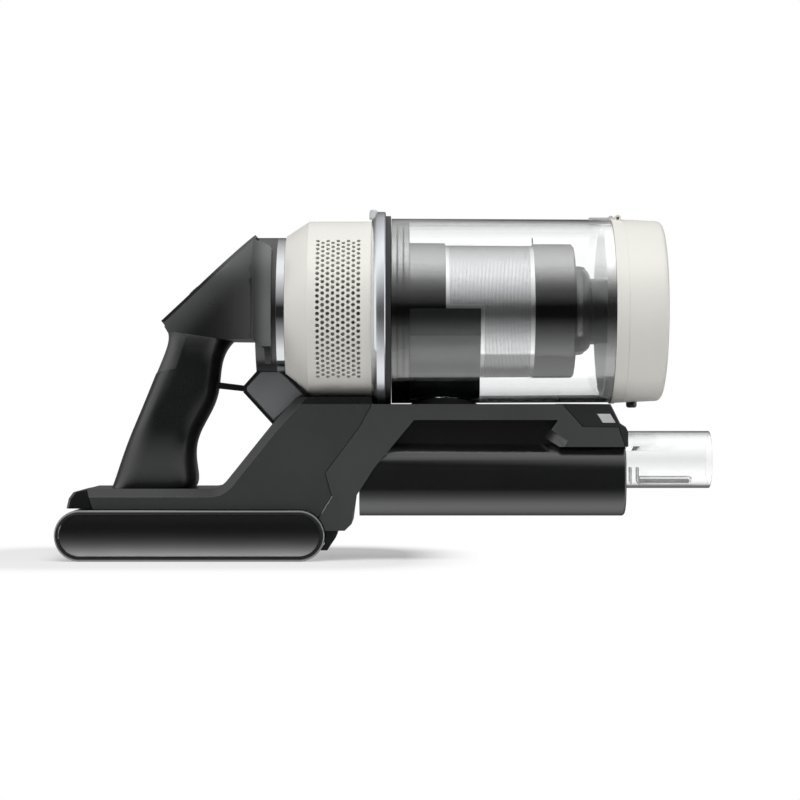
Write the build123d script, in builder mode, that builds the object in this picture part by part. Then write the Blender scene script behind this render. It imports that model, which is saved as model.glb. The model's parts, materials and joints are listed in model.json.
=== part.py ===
import os
from math import cos, pi, radians, sin, sqrt

from build123d import *

# A cordless hand vacuum, in millimetres. X runs forward to the intake, Y to the far side, Z up.
# The origin is under the middle of the object, on the surface that the battery stands on.

# Clearances
running_gap = 0.3
seat_gap = 0.1
shaft_gap = 0.03

# Dust bin and its lid, on an axis along X
bin_axis_z = 152.8
bin_length = 134.6
bin_rear_radius = 57.2
bin_front_radius = 56.6
bin_wall = 2.2
lid_length = 31.6
lid_radius = 56.9
lid_front_radius = 55.5
lid_wall = 2.4
lid_edge_radius = 3.4
lid_rim_width = 2.6
lid_rim_height = 0.5
lid_line_x = 7.4
lid_line_depth = 0.35
liner_thickness = 2.0
gasket_length = 8.0
gasket_thickness = 2.0
gasket_gap = 1.2
hinge_pin_radius = 1.0
hinge_pin_length = 30.0
hinge_barrel_radius = 2.1
hinge_bracket_width = 11.0
hinge_tongue_length = 12.0
hinge_drop = 0.9
nub_x = 13.8
nub_radius = 3.3
nub_height = 3.0
nub_travel = 1.8
spring_wire_radius = 0.35
spring_radius = 2.2
spring_turns = 5

# Collar, seal and filters behind the bin
collar_width = 8.6
collar_radius = 61.4
collar_bevel = 3.4
collar_bore_radius = 49.0
seal_width = 3.2
seal_radius = 58.8
seal_inner_radius = 52.0
prefilter_length = 10.0
tab_length = 5.2
tab_width = 9.0
tab_travel = 1.2

# Motor cover, rear ring and motor
cover_length = 52.4
cover_radius = 55.4
cover_rear_radius = 46.2
cover_chamfer_length = 14.0
cover_wall = 2.4
vent_hole_radius = 1.15
vent_pitch = 3.55
vent_columns = 9
vent_rows = 27
vent_first_x = 6.2
ring_radius = 45.3
ring_length = 17.7
ring_wall = 2.6
can_radius = 31.0
can_wall = 1.8
can_eye_radius = 17.0
mount_thickness = 2.0
bulkhead_thickness = 3.6
filter_thickness = 8.0
filter_pleats = 54
stator_length = 18.0
stator_gap = 0.6
magnet_radius = 8.5
shaft_radius = 2.5
bearing_radius = 6.5
bearing_width = 5.0
bridge_thickness = 6.5
impeller_radius = 25.0
impeller_length = 9.0
impeller_blades = 9
blade_thickness = 1.0

# Cyclone inside the bin
base_length = 11.0
body_radius = 41.9
body_length = 22.0
mesh_radius = 40.8
mesh_thickness = 1.0
mesh_end_x = 90.4
skirt_radius = 41.6
skirt_length = 25.0
cyclone_wall = 1.8
scoop_length = 43.0
scoop_thickness = 1.8
scoop_half_width = 21.0
shoulder_radius = 27.0
neck_radius = 20.5
shoulder_length = 11.0
neck_length = 10.5
cone_count = 8
cone_circle_radius = 26.0
cone_top_radius = 8.6
cone_tip_radius = 3.4
cone_length = 46.0
cone_plate_thickness = 2.0

# Intake duct under the bin
duct_half_width = 34.0
duct_bottom_z = 26.8
duct_top_z = 73.2
duct_corner_radius = 17.8
duct_edge_radius = 2.0
duct_rear_x = -16.0
duct_front_x = 146.2
duct_wall = 2.6
duct_front_wall = 9.0
saddle_top_z = 95.2
saddle_half_width = 35.0
recess_half_width = 24.0
band_height = 9.6
pipe_axis_z = 60.8
pipe_radius = 17.7
pipe_step = 0.7
pipe_wall = 1.8
pipe_end_x = 200.3
elbow_x = 36.0
elbow_wall = 2.2
elbow_bend_radius = 22.0
elbow_socket_length = 9.0
gasket_rim = 2.6
rail_length = 32.0
pin_radius = 1.1
release_travel = 2.0

# Battery under the deck
battery_length = 163.6
battery_height = 31.2
battery_width = 79.0
battery_front_x = -36.8
battery_wall = 2.4
battery_rim = 3.0
battery_edge_radius = 1.6
side_panel_thickness = 1.6
side_panel_crown = 110.0
cell_radius = 10.5
cell_length = 70.0
cell_count = 7
cell_pitch = 22.0
board_thickness = 1.6
contact_width = 1.6
contact_height = 9.0
contact_pitch = 8.0
contact_count = 4
socket_half_width = 22.0

# Rear casing: deck, arm, grip and head
casing_wall = 2.6
deck_height = 12.2
deck_half_width = 34.0
deck_chamfer = 5.0
deck_rear_x = -177.4
grip_width = 34.0
grip_wall = 3.0
bridge_half_width = 8.0
neck_half_width = 25.0
head_front_half_width = 47.6
head_waist_half_width = 46.0
head_mid_half_width = 31.0
head_tip_half_width = 21.5
head_height = 95.0
head_corner_radius = 30.0
panel_angle = 41.9
panel_length = 78.0
panel_thickness = 2.0
panel_tip_x = -137.3
panel_tip_z = 146.1
display_length = 31.0
display_width = 44.0
display_offset = 53.0
display_thickness = 1.2
button_offset = 27.5
button_spacing = 14.5
button_rise = 1.2
button_travel = 0.8
power_button_radius = 5.2
side_button_radius = 4.4
button_flange = 1.0
button_flange_thickness = 1.2
grip_pad_depth = 1.4
seam_gap = 0.35
screw_head_radius = 3.0
screw_radius = 1.5
boss_radius = 4.2

# Stations along the bin axis, worked out from the sizes above
collar_front_x = 0.0
collar_rear_x = collar_front_x - collar_width
cover_rear_x = collar_rear_x - cover_length
ring_rear_x = cover_rear_x - ring_length
seal_front_x = collar_front_x + seal_width
bin_rear_x = seal_front_x + running_gap
bin_front_x = bin_rear_x + bin_length
lid_rear_x = bin_front_x + running_gap
lid_front_x = lid_rear_x + lid_length
base_front_x = bin_rear_x + base_length
body_front_x = base_front_x + body_length
bulkhead_front_x = collar_rear_x - 1.4
bulkhead_rear_x = bulkhead_front_x - bulkhead_thickness
can_rear_x = cover_rear_x + cover_wall + mount_thickness
deck_bottom_z = battery_height + running_gap
deck_top_z = deck_bottom_z + deck_height

bin_axis = Axis((0, 0, bin_axis_z), (1, 0, 0))
bin_plane = Plane(origin=(0, 0, bin_axis_z), x_dir=(1, 0, 0), z_dir=(0, -1, 0))
panel_slope = (cos(radians(panel_angle)), sin(radians(panel_angle)))
panel_plane = Plane(
    origin=(panel_tip_x, 0, panel_tip_z),
    x_dir=(panel_slope[0], 0, panel_slope[1]),
    z_dir=(-panel_slope[1], 0, panel_slope[0]),
)

os.makedirs("parts", exist_ok=True)


def forward_plane(x, z):
    """A plane that faces forward, on the middle of the object."""
    return Plane(origin=(x, 0, z), x_dir=(0, 1, 0), z_dir=(1, 0, 0))


def side_plane(x, y, z):
    """A plane that faces the near side."""
    return Plane(origin=(x, y, z), x_dir=(1, 0, 0), z_dir=(0, -1, 0))


def side_face(points):
    """A face in the XZ plane from its corner points."""
    with BuildSketch(Plane.XZ) as face:
        with BuildLine():
            Polyline(*points, close=True)
        make_face()
    return face.sketch


def turned_face(points):
    """A half section of a turned piece: (station along X, radius) from the bin axis."""
    with BuildSketch(bin_plane) as face:
        with BuildLine():
            Polyline(*points, close=True)
        make_face()
    return face.sketch


def round_section(plane, radius):
    with BuildSketch(plane) as face:
        Circle(radius)
    return face.sketch


def duct_section(x, inset):
    """The duct's rounded cross section at one station, drawn in by a wall."""
    width = 2 * (duct_half_width - inset)
    height = duct_top_z - duct_bottom_z - 2 * inset
    with BuildSketch(forward_plane(x, (duct_top_z + duct_bottom_z) / 2)) as face:
        RectangleRounded(width, height, duct_corner_radius - inset)
    return face.sketch


def write_piece(builder, name):
    builder.part.label = name
    export_step(builder.part, f"parts/{name}.step")


def bin_station(x):
    """The plane across the bin axis at one station, facing forward."""
    return forward_plane(x, bin_axis_z)


def turned_ring(rear_x, front_x, inner_radius, outer_radius):
    """The half section of a plain ring on the bin axis."""
    inner = [(rear_x, inner_radius), (front_x, inner_radius)]
    outer = [(front_x, outer_radius), (rear_x, outer_radius)]
    return turned_face(inner + outer)


def panel_point(along, out):
    """A point of the side view, measured up the panel's slope and out of it."""
    x = panel_tip_x + along * panel_slope[0] - out * panel_slope[1]
    z = panel_tip_z + along * panel_slope[1] + out * panel_slope[0]
    return (x, z)


# Clear dust bin
bin_rear_bore = bin_rear_radius - bin_wall
bin_front_bore = bin_front_radius - bin_wall
inlet_hole_radius = pipe_radius - pipe_wall + 1.0
with BuildPart() as bin_tube:
    revolve(
        turned_face(
            [
                (bin_rear_x, bin_rear_bore),
                (bin_front_x, bin_front_bore),
                (bin_front_x, bin_front_radius),
                (bin_rear_x, bin_rear_radius),
            ]
        ),
        axis=bin_axis,
    )
    extrude(
        round_section(Plane(origin=(elbow_x, 0, bin_axis_z)), inlet_hole_radius),
        amount=-bin_rear_radius,
        mode=Mode.SUBTRACT,
    )
write_piece(bin_tube, "bin_tube")

# Lid: a shallow cup with a rim, a fine line and a rounded front edge
hinge_x = lid_rear_x + hinge_barrel_radius + 1.9
hinge_z = bin_axis_z + lid_radius + lid_rim_height - hinge_drop
hinge_plane = side_plane(hinge_x, 0, hinge_z)
ear_outer = hinge_pin_length / 2
ear_inner = hinge_bracket_width / 2 + running_gap
lid_taper = (lid_radius - lid_front_radius) / (lid_length - lid_rim_width)
line_radius = lid_radius - lid_taper * (lid_line_x - lid_rim_width)
with BuildPart() as bin_lid:
    revolve(
        turned_face(
            [
                (lid_rear_x, 0),
                (lid_rear_x, lid_radius + lid_rim_height),
                (lid_rear_x + lid_rim_width, lid_radius + lid_rim_height),
                (lid_rear_x + lid_rim_width, lid_radius),
                (lid_rear_x + lid_line_x, line_radius),
                (lid_rear_x + lid_line_x, line_radius - lid_line_depth),
                (lid_rear_x + lid_line_x + lid_line_depth, line_radius - lid_line_depth),
                (lid_rear_x + lid_line_x + lid_line_depth, line_radius),
                (lid_front_x, lid_front_radius),
                (lid_front_x, 0),
            ]
        ),
        axis=bin_axis,
    )
    fillet(bin_lid.edges().filter_by(GeomType.CIRCLE).sort_by(Axis.X)[-1], lid_edge_radius)
    revolve(
        turned_face(
            [
                (lid_rear_x, 0),
                (lid_rear_x, lid_radius - lid_wall),
                (lid_rear_x + lid_rim_width, lid_radius - lid_wall),
                (lid_front_x - lid_wall, lid_front_radius - lid_wall),
                (lid_front_x - lid_wall, 0),
            ]
        ),
        axis=bin_axis,
        mode=Mode.SUBTRACT,
    )
    # Hinge ears on both sides of the bracket, and the slot that the bracket's barrel sits in
    with BuildSketch(hinge_plane.offset(ear_inner)) as ear_profile:
        Circle(hinge_barrel_radius)
        with Locations((0, -hinge_barrel_radius)):
            Rectangle(2 * hinge_barrel_radius, 2 * hinge_barrel_radius)
    extrude(amount=ear_outer - ear_inner)
    mirror(about=Plane.XZ)
    with BuildSketch(hinge_plane) as slot_profile:
        Rectangle(2 * (hinge_x - lid_rear_x), 6 * hinge_barrel_radius)
    extrude(amount=ear_inner, both=True, mode=Mode.SUBTRACT)
    extrude(
        round_section(hinge_plane, hinge_pin_radius + shaft_gap),
        amount=ear_outer,
        both=True,
        mode=Mode.SUBTRACT,
    )
    # Hole for the release nub in the skirt
    extrude(
        round_section(Plane(origin=(lid_rear_x + nub_x, 0, bin_axis_z)), nub_radius + running_gap),
        amount=-lid_radius - lid_rim_height,
        mode=Mode.SUBTRACT,
    )
write_piece(bin_lid, "bin_lid")

# Hinge bracket on the bin, with its barrel in the lid's slot, and the pin
with BuildPart() as lid_hinge_bracket:
    with BuildSketch(hinge_plane) as bracket_profile:
        Circle(hinge_barrel_radius)
        with Locations((-hinge_barrel_radius, -hinge_barrel_radius / 2)):
            Rectangle(2 * hinge_barrel_radius, hinge_barrel_radius)
    extrude(amount=hinge_bracket_width / 2, both=True)
    with BuildSketch(Plane.XY.offset(hinge_z)) as tongue_profile:
        with Locations((bin_front_x - hinge_tongue_length / 2 + 1.0, 0)):
            Rectangle(hinge_tongue_length + 2.0, hinge_bracket_width)
    extrude(amount=hinge_barrel_radius)
    extrude(amount=-hinge_barrel_radius, to_extrude=tongue_profile.sketch)
    revolve(
        turned_face(
            [
                (bin_front_x - 2 * hinge_tongue_length, 0),
                (bin_front_x + running_gap, 0),
                (bin_front_x + running_gap, bin_front_radius + seat_gap),
                (bin_front_x - 2 * hinge_tongue_length, bin_front_radius + 2 * seat_gap),
            ]
        ),
        axis=bin_axis,
        mode=Mode.SUBTRACT,
    )
    revolve(
        turned_ring(
            bin_front_x - 2 * hinge_tongue_length,
            lid_rear_x,
            lid_radius + 2 * lid_rim_height,
            lid_radius + 6 * hinge_barrel_radius,
        ),
        axis=bin_axis,
        mode=Mode.SUBTRACT,
    )
    extrude(
        round_section(hinge_plane, hinge_pin_radius + shaft_gap),
        amount=hinge_bracket_width,
        both=True,
        mode=Mode.SUBTRACT,
    )
write_piece(lid_hinge_bracket, "lid_hinge_bracket")

with BuildPart() as lid_hinge_pin:
    extrude(round_section(hinge_plane, hinge_pin_radius), amount=hinge_pin_length / 2, both=True)
write_piece(lid_hinge_pin, "lid_hinge_pin")

# Liner disc across the lid, and the soft sleeve that seals it in the bin
liner_rear_x = lid_rear_x + lid_rim_width
liner_radius = lid_radius - lid_wall - seat_gap - lid_taper * liner_thickness
gasket_radius = bin_front_bore - gasket_gap
with BuildPart() as lid_liner:
    revolve(turned_ring(liner_rear_x, liner_rear_x + liner_thickness, 0, liner_radius), axis=bin_axis)
    with BuildSketch(hinge_plane) as liner_slot:
        Rectangle(4 * hinge_barrel_radius + 2 * running_gap, 8 * hinge_barrel_radius)
    extrude(amount=ear_outer + running_gap, both=True, mode=Mode.SUBTRACT)
write_piece(lid_liner, "lid_liner")

with BuildPart() as lid_gasket:
    revolve(
        turned_ring(
            liner_rear_x - gasket_length, liner_rear_x, gasket_radius - gasket_thickness, gasket_radius
        ),
        axis=bin_axis,
    )
    with BuildSketch(hinge_plane) as gasket_slot:
        Rectangle(2 * (hinge_x - bin_front_x), 8 * hinge_barrel_radius)
    extrude(amount=ear_outer + running_gap, both=True, mode=Mode.SUBTRACT)
write_piece(lid_gasket, "lid_gasket")

# Release nub under the lid, with a flange inside the skirt and its return spring above
nub_plane = Plane(origin=(lid_rear_x + nub_x, 0, bin_axis_z - lid_radius + lid_wall))
nub_top_z = nub_plane.origin.Z
flange_rise = 2.2
with BuildPart() as lid_release:
    nub_length = nub_height + lid_wall + flange_rise
    extrude(round_section(nub_plane.offset(flange_rise), nub_radius), amount=-nub_length)
    fillet(lid_release.edges().group_by(Axis.Z)[0], nub_radius / 2)
    extrude(round_section(nub_plane.offset(flange_rise), nub_radius + 1.2), amount=1.2)
write_piece(lid_release, "lid_release")

spring_bottom_z = nub_top_z + flange_rise + 1.2 + spring_wire_radius + seat_gap
spring_length = 3.4 * nub_travel
spring_pitch = spring_length / spring_turns
with BuildPart() as lid_spring:
    with BuildLine() as spring_path:
        Helix(
            pitch=spring_pitch,
            height=spring_length,
            radius=spring_radius,
            center=(lid_rear_x + nub_x, 0, spring_bottom_z),
        )
    with BuildSketch(Plane(spring_path.line @ 0, z_dir=spring_path.line % 0)):
        Circle(spring_wire_radius)
    sweep(path=spring_path.line, is_frenet=True)
write_piece(lid_spring, "lid_spring")

# Bridge across the lid that the spring pushes against
stay_bottom_z = spring_bottom_z + spring_length + spring_wire_radius + seat_gap
stay_length = 8.0
stay_bore = lid_radius - lid_taper * (nub_x + stay_length / 2 - lid_rim_width) - lid_wall - seat_gap
stay_half_width = sqrt(stay_bore**2 - (bin_axis_z - stay_bottom_z) ** 2)
with BuildPart() as lid_stay:
    with BuildSketch(Plane(origin=(lid_rear_x + nub_x, 0, stay_bottom_z))):
        Rectangle(stay_length, 2 * stay_half_width)
    extrude(amount=2.0)
write_piece(lid_stay, "lid_stay")

# Seal between the collar and the bin
with BuildPart() as collar_seal:
    revolve(turned_ring(collar_front_x, seal_front_x, seal_inner_radius, seal_radius), axis=bin_axis)
write_piece(collar_seal, "collar_seal")

# Silver collar with a bevelled rear edge and a pocket on top for the tab
tab_x = collar_rear_x + tab_length / 2 - 1.6
tab_seat_z = bin_axis_z + collar_radius - collar_bevel - 1.0
with BuildPart() as front_collar:
    revolve(
        turned_face(
            [
                (collar_rear_x, collar_bore_radius),
                (collar_front_x, collar_bore_radius),
                (collar_front_x, collar_radius - 0.6),
                (collar_front_x - 0.6, collar_radius),
                (collar_rear_x + collar_bevel, collar_radius),
                (collar_rear_x, collar_radius - collar_bevel - 1.2),
            ]
        ),
        axis=bin_axis,
    )
    with BuildSketch(Plane(origin=(tab_x, 0, tab_seat_z - tab_travel - running_gap))):
        Rectangle(tab_length + 2 * running_gap, tab_width + 2 * running_gap)
    extrude(amount=collar_radius, mode=Mode.SUBTRACT)
write_piece(front_collar, "front_collar")

tab_top_z = bin_axis_z + collar_radius + 1.4
with BuildPart() as collar_latch:
    with BuildSketch(Plane(origin=(tab_x, 0, tab_seat_z))):
        RectangleRounded(tab_length, tab_width, tab_length / 2 - 0.2)
    extrude(amount=tab_top_z - tab_seat_z)
    fillet(collar_latch.edges().group_by(Axis.Z)[-1], tab_length / 2 - 0.6)
write_piece(collar_latch, "collar_latch")

# Where the exhaust holes go: staggered columns round the near and the far side of the cover
vent_column_pitch = vent_pitch * sqrt(3) / 2
vent_row_angle = vent_pitch / cover_radius
vent_planes = []
for column in range(vent_columns):
    rows = vent_rows - column % 2
    for row in range(rows):
        turn = (row - (rows - 1) / 2) * vent_row_angle
        for side in (-1, 1):
            outward = (0, side * cos(turn), sin(turn))
            reach = cover_radius - 2 * cover_wall
            hole_x = cover_rear_x + cover_chamfer_length + vent_first_x + column * vent_column_pitch
            foot = (hole_x, reach * outward[1], bin_axis_z + reach * outward[2])
            vent_planes.append(Plane(origin=foot, z_dir=outward))

# Motor cover: a shell with a chamfered rear, perforated on both sides
cover_slope = (cover_radius - cover_rear_radius) / cover_chamfer_length
flange_radius = ring_radius - ring_wall
with BuildPart() as motor_cover:
    revolve(
        turned_face(
            [
                (cover_rear_x, flange_radius),
                (cover_rear_x, cover_rear_radius),
                (cover_rear_x + cover_chamfer_length, cover_radius),
                (collar_rear_x, cover_radius),
                (collar_rear_x, cover_radius - cover_wall),
                (cover_rear_x + cover_chamfer_length, cover_radius - cover_wall),
                (cover_rear_x + cover_wall, cover_rear_radius - cover_wall + cover_slope * cover_wall),
                (cover_rear_x + cover_wall, flange_radius),
            ]
        ),
        axis=bin_axis,
    )
    with Locations(*vent_planes):
        Cylinder(
            vent_hole_radius,
            3 * cover_wall,
            align=(Align.CENTER, Align.CENTER, Align.MIN),
            mode=Mode.SUBTRACT,
        )
write_piece(motor_cover, "motor_cover")

# Polished ring behind the cover, with a bulkhead that the motor's leads pass through
with BuildPart() as rear_ring:
    revolve(turned_ring(ring_rear_x, cover_rear_x, ring_radius - ring_wall, ring_radius), axis=bin_axis)
    revolve(
        turned_ring(cover_rear_x - ring_wall, cover_rear_x, 10.0, ring_radius - ring_wall),
        axis=bin_axis,
    )
write_piece(rear_ring, "rear_ring")

# Motor: mount ring, can, stator, bearings in their bridge, rotor and impeller
with BuildPart() as motor_mount:
    revolve(
        turned_ring(cover_rear_x, can_rear_x, can_radius - 4 * can_wall, flange_radius - seat_gap),
        axis=bin_axis,
    )
write_piece(motor_mount, "motor_mount")

rear_bearing_x = can_rear_x + can_wall
stator_rear_x = rear_bearing_x + bearing_width + 1.6
stator_front_x = stator_rear_x + stator_length
bridge_rear_x = stator_front_x + 0.4
bridge_front_x = bridge_rear_x + bridge_thickness
impeller_rear_x = bridge_front_x + 0.8
impeller_front_x = impeller_rear_x + impeller_length
can_front_x = impeller_front_x + 0.8 + can_wall
can_bore = can_radius - can_wall
with BuildPart() as motor_can:
    revolve(
        turned_face(
            [
                (can_rear_x, bearing_radius - 1.6),
                (can_rear_x, can_radius),
                (can_front_x, can_radius),
                (can_front_x, can_eye_radius),
                (can_front_x - can_wall, can_eye_radius),
                (can_front_x - can_wall, can_bore),
                (rear_bearing_x, can_bore),
                (rear_bearing_x, bearing_radius + 2.0),
                (rear_bearing_x + bearing_width, bearing_radius + 2.0),
                (rear_bearing_x + bearing_width, bearing_radius),
                (rear_bearing_x, bearing_radius),
                (rear_bearing_x, bearing_radius - 1.6),
            ]
        ),
        axis=bin_axis,
    )
write_piece(motor_can, "motor_can")

with BuildPart() as stator:
    revolve(
        turned_ring(stator_rear_x, stator_front_x, magnet_radius + stator_gap, can_bore - seat_gap),
        axis=bin_axis,
    )
    with BuildSketch(bin_station(stator_rear_x)):
        with PolarLocations((magnet_radius + can_bore) / 2, 6, 30):
            SlotOverall(can_bore - magnet_radius - 9.0, 7.0)
    extrude(amount=stator_length, mode=Mode.SUBTRACT)
write_piece(stator, "stator")

with BuildPart() as bearing_bridge:
    revolve(
        turned_ring(bridge_rear_x, bridge_front_x, bearing_radius, can_bore - seat_gap),
        axis=bin_axis,
    )
    revolve(
        turned_ring(bridge_rear_x, bridge_rear_x + 1.2, shaft_radius + 1.4, bearing_radius),
        axis=bin_axis,
    )
    with BuildSketch(bin_station(bridge_rear_x)):
        with PolarLocations((bearing_radius + can_bore) / 2 + 1.0, 9):
            Circle(3.6)
    extrude(amount=bridge_thickness, mode=Mode.SUBTRACT)
write_piece(bearing_bridge, "bearing_bridge")

front_bearing_x = bridge_rear_x + 1.2
with BuildPart() as bearings:
    for bearing_x in (rear_bearing_x, front_bearing_x):
        revolve(
            turned_ring(bearing_x, bearing_x + bearing_width, shaft_radius + shaft_gap, bearing_radius),
            axis=bin_axis,
        )
write_piece(bearings, "bearings")

magnet_front_x = stator_front_x - 1.0
with BuildPart() as rotor_shaft:
    revolve(
        turned_face(
            [
                (rear_bearing_x, 0),
                (rear_bearing_x, shaft_radius),
                (stator_rear_x + 1.0, shaft_radius),
                (stator_rear_x + 1.0, magnet_radius),
                (magnet_front_x, magnet_radius),
                (magnet_front_x, shaft_radius),
                (impeller_front_x, shaft_radius),
                (impeller_front_x, 0),
            ]
        ),
        axis=bin_axis,
    )
write_piece(rotor_shaft, "rotor_shaft")

hub_radius = 8.0
with BuildPart() as impeller:
    revolve(
        turned_face(
            [
                (impeller_rear_x, shaft_radius),
                (impeller_rear_x, impeller_radius),
                (impeller_rear_x + 1.2, impeller_radius),
                (impeller_rear_x + 3.0, hub_radius + 4.0),
                (impeller_front_x - 1.0, hub_radius - 2.0),
                (impeller_front_x - 1.0, shaft_radius),
            ]
        ),
        axis=bin_axis,
    )
    blade_points = [
        (impeller_rear_x + 0.6, hub_radius - 3.0),
        (impeller_rear_x + 0.6, impeller_radius),
        (impeller_rear_x + 4.0, impeller_radius),
        (impeller_front_x - 0.6, can_eye_radius - 1.5),
        (impeller_front_x - 1.5, hub_radius - 3.0),
    ]
    with BuildSketch(bin_plane) as blade_profile:
        with BuildLine():
            Polyline(*blade_points, close=True)
        make_face()
    extrude(amount=blade_thickness / 2, both=True)
    blade = extrude(blade_profile.sketch, amount=blade_thickness / 2, both=True, mode=Mode.PRIVATE)
    for turn in range(1, impeller_blades):
        add(blade.rotate(bin_axis, turn * 360 / impeller_blades))
write_piece(impeller, "impeller")

# Bulkhead that holds the can's front, filters before and after the motor
cover_bore = cover_radius - cover_wall
with BuildPart() as motor_bulkhead:
    revolve(
        turned_face(
            [
                (bulkhead_rear_x, can_radius + seat_gap),
                (bulkhead_rear_x, cover_bore - seat_gap),
                (bulkhead_front_x, cover_bore - seat_gap),
                (bulkhead_front_x, can_eye_radius),
                (can_front_x, can_eye_radius),
                (can_front_x, can_radius + seat_gap),
            ]
        ),
        axis=bin_axis,
    )
write_piece(motor_bulkhead, "motor_bulkhead")

with BuildPart() as prefilter:
    revolve(
        turned_ring(
            bulkhead_front_x, bulkhead_front_x + prefilter_length, 0, collar_bore_radius - seat_gap
        ),
        axis=bin_axis,
    )
write_piece(prefilter, "prefilter")

filter_rear_x = cover_rear_x + cover_chamfer_length
filter_outer = cover_bore - seat_gap
filter_points = []
for fold in range(2 * filter_pleats):
    fold_angle = fold * pi / filter_pleats
    fold_radius = filter_outer - 0.4 - (filter_thickness - 2.0) * (fold % 2)
    filter_points.append((fold_radius * cos(fold_angle), fold_radius * sin(fold_angle)))
with BuildPart() as exhaust_filter:
    with BuildSketch(bin_station(filter_rear_x)):
        with BuildLine():
            Polyline(*filter_points, close=True)
        make_face()
        Circle(filter_outer - filter_thickness, mode=Mode.SUBTRACT)
    extrude(amount=bulkhead_rear_x - filter_rear_x)
write_piece(exhaust_filter, "exhaust_filter")

# Cyclone: base ring, body, mesh shroud, skirt, dust cone and the small cones inside
base_radius = bin_rear_bore - seat_gap - (bin_rear_radius - bin_front_radius) * base_length / bin_length
base_groove_x = bin_rear_x + base_length / 2
body_bore = body_radius - cyclone_wall
with BuildPart() as cyclone_base:
    revolve(
        turned_face(
            [
                (bin_rear_x, body_bore),
                (bin_rear_x, base_radius),
                (base_groove_x - 0.8, base_radius),
                (base_groove_x, base_radius - 1.2),
                (base_groove_x + 0.8, base_radius),
                (base_front_x, base_radius),
                (base_front_x, body_bore),
            ]
        ),
        axis=bin_axis,
    )
write_piece(cyclone_base, "cyclone_base")

with BuildPart() as cyclone_body:
    revolve(turned_ring(base_front_x, body_front_x, body_bore, body_radius), axis=bin_axis)
    fillet(cyclone_body.edges().filter_by(GeomType.CIRCLE).sort_by(Axis.X)[-2:], cyclone_wall / 3)
write_piece(cyclone_body, "cyclone_body")

with BuildPart() as mesh_shroud:
    revolve(
        turned_ring(body_front_x, mesh_end_x, mesh_radius - mesh_thickness, mesh_radius),
        axis=bin_axis,
    )
write_piece(mesh_shroud, "mesh_shroud")

skirt_front_x = mesh_end_x + skirt_length
with BuildPart() as cyclone_skirt:
    revolve(
        turned_face(
            [
                (mesh_end_x, mesh_radius - 2 * mesh_thickness),
                (mesh_end_x, skirt_radius),
                (skirt_front_x - 1.2, skirt_radius),
                (skirt_front_x, skirt_radius - 1.2),
                (skirt_front_x, shoulder_radius + seat_gap),
                (skirt_front_x - cyclone_wall, shoulder_radius + seat_gap),
                (skirt_front_x - cyclone_wall, skirt_radius - cyclone_wall),
                (mesh_end_x + cyclone_wall, skirt_radius - cyclone_wall),
                (mesh_end_x + cyclone_wall, mesh_radius - 2 * mesh_thickness),
            ]
        ),
        axis=bin_axis,
    )
write_piece(cyclone_skirt, "cyclone_skirt")

neck_rear_x = skirt_front_x + shoulder_length
neck_front_x = neck_rear_x + neck_length
with BuildPart() as dust_cone:
    with BuildSketch(bin_plane):
        with BuildLine():
            Polyline(
                (skirt_front_x - cyclone_wall, shoulder_radius - cyclone_wall),
                (skirt_front_x - cyclone_wall, shoulder_radius),
                (skirt_front_x + 1.0, shoulder_radius),
            )
            ThreePointArc(
                (skirt_front_x + 1.0, shoulder_radius),
                (skirt_front_x + 0.72 * shoulder_length, shoulder_radius - 1.4),
                (neck_rear_x, neck_radius),
            )
            Polyline(
                (neck_rear_x, neck_radius),
                (neck_front_x, neck_radius),
                (neck_front_x, neck_radius - cyclone_wall),
                (neck_rear_x - cyclone_wall, neck_radius - cyclone_wall),
                (skirt_front_x - cyclone_wall, shoulder_radius - cyclone_wall),
            )
        make_face()
    revolve(axis=bin_axis)
write_piece(dust_cone, "dust_cone")

plate_x = base_front_x + 2.0
with BuildPart() as cyclone_cones:
    revolve(turned_ring(plate_x, plate_x + cone_plate_thickness, 0, body_bore - seat_gap), axis=bin_axis)
    with Locations(bin_station(plate_x)):
        with PolarLocations(cone_circle_radius, cone_count):
            Cone(
                cone_top_radius,
                cone_tip_radius,
                cone_length,
                align=(Align.CENTER, Align.CENTER, Align.MIN),
            )
    with Locations(bin_station(plate_x)):
        with PolarLocations(cone_circle_radius, cone_count):
            Cone(
                cone_top_radius - cyclone_wall,
                cone_tip_radius - cyclone_wall / 2,
                cone_length,
                align=(Align.CENTER, Align.CENTER, Align.MIN),
                mode=Mode.SUBTRACT,
            )
write_piece(cyclone_cones, "cyclone_cones")

# Inlet scoop: a half sleeve round the lower side, with a box down to the bin's inlet hole
scoop_front_x = base_front_x + scoop_length
scoop_bore = body_radius + seat_gap
scoop_foot_radius = bin_front_bore - seat_gap
with BuildPart() as inlet_scoop:
    with BuildSketch(Plane(origin=((base_front_x + scoop_front_x) / 2, 0, bin_axis_z - body_radius))):
        Rectangle(scoop_length, 2 * scoop_half_width)
    extrude(amount=body_radius - scoop_bore / 2, both=True)
    revolve(
        turned_ring(base_front_x, scoop_front_x, 0, scoop_foot_radius),
        axis=bin_axis,
        mode=Mode.INTERSECT,
    )
    revolve(turned_ring(base_front_x, scoop_front_x, 0, scoop_bore + scoop_thickness), axis=bin_axis)
    revolve(turned_ring(base_front_x, scoop_front_x, 0, scoop_bore), axis=bin_axis, mode=Mode.SUBTRACT)
    split(bisect_by=Plane.XY.offset(bin_axis_z), keep=Keep.BOTTOM)
    extrude(
        round_section(Plane(origin=(elbow_x, 0, bin_axis_z)), inlet_hole_radius),
        amount=-bin_rear_radius,
        mode=Mode.SUBTRACT,
    )
write_piece(inlet_scoop, "inlet_scoop")

# The space that the battery fills, open to the rear, and the seat of everything on the bin axis
battery_mid_x = battery_front_x - battery_length / 2
battery_mid_z = battery_height / 2


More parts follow.
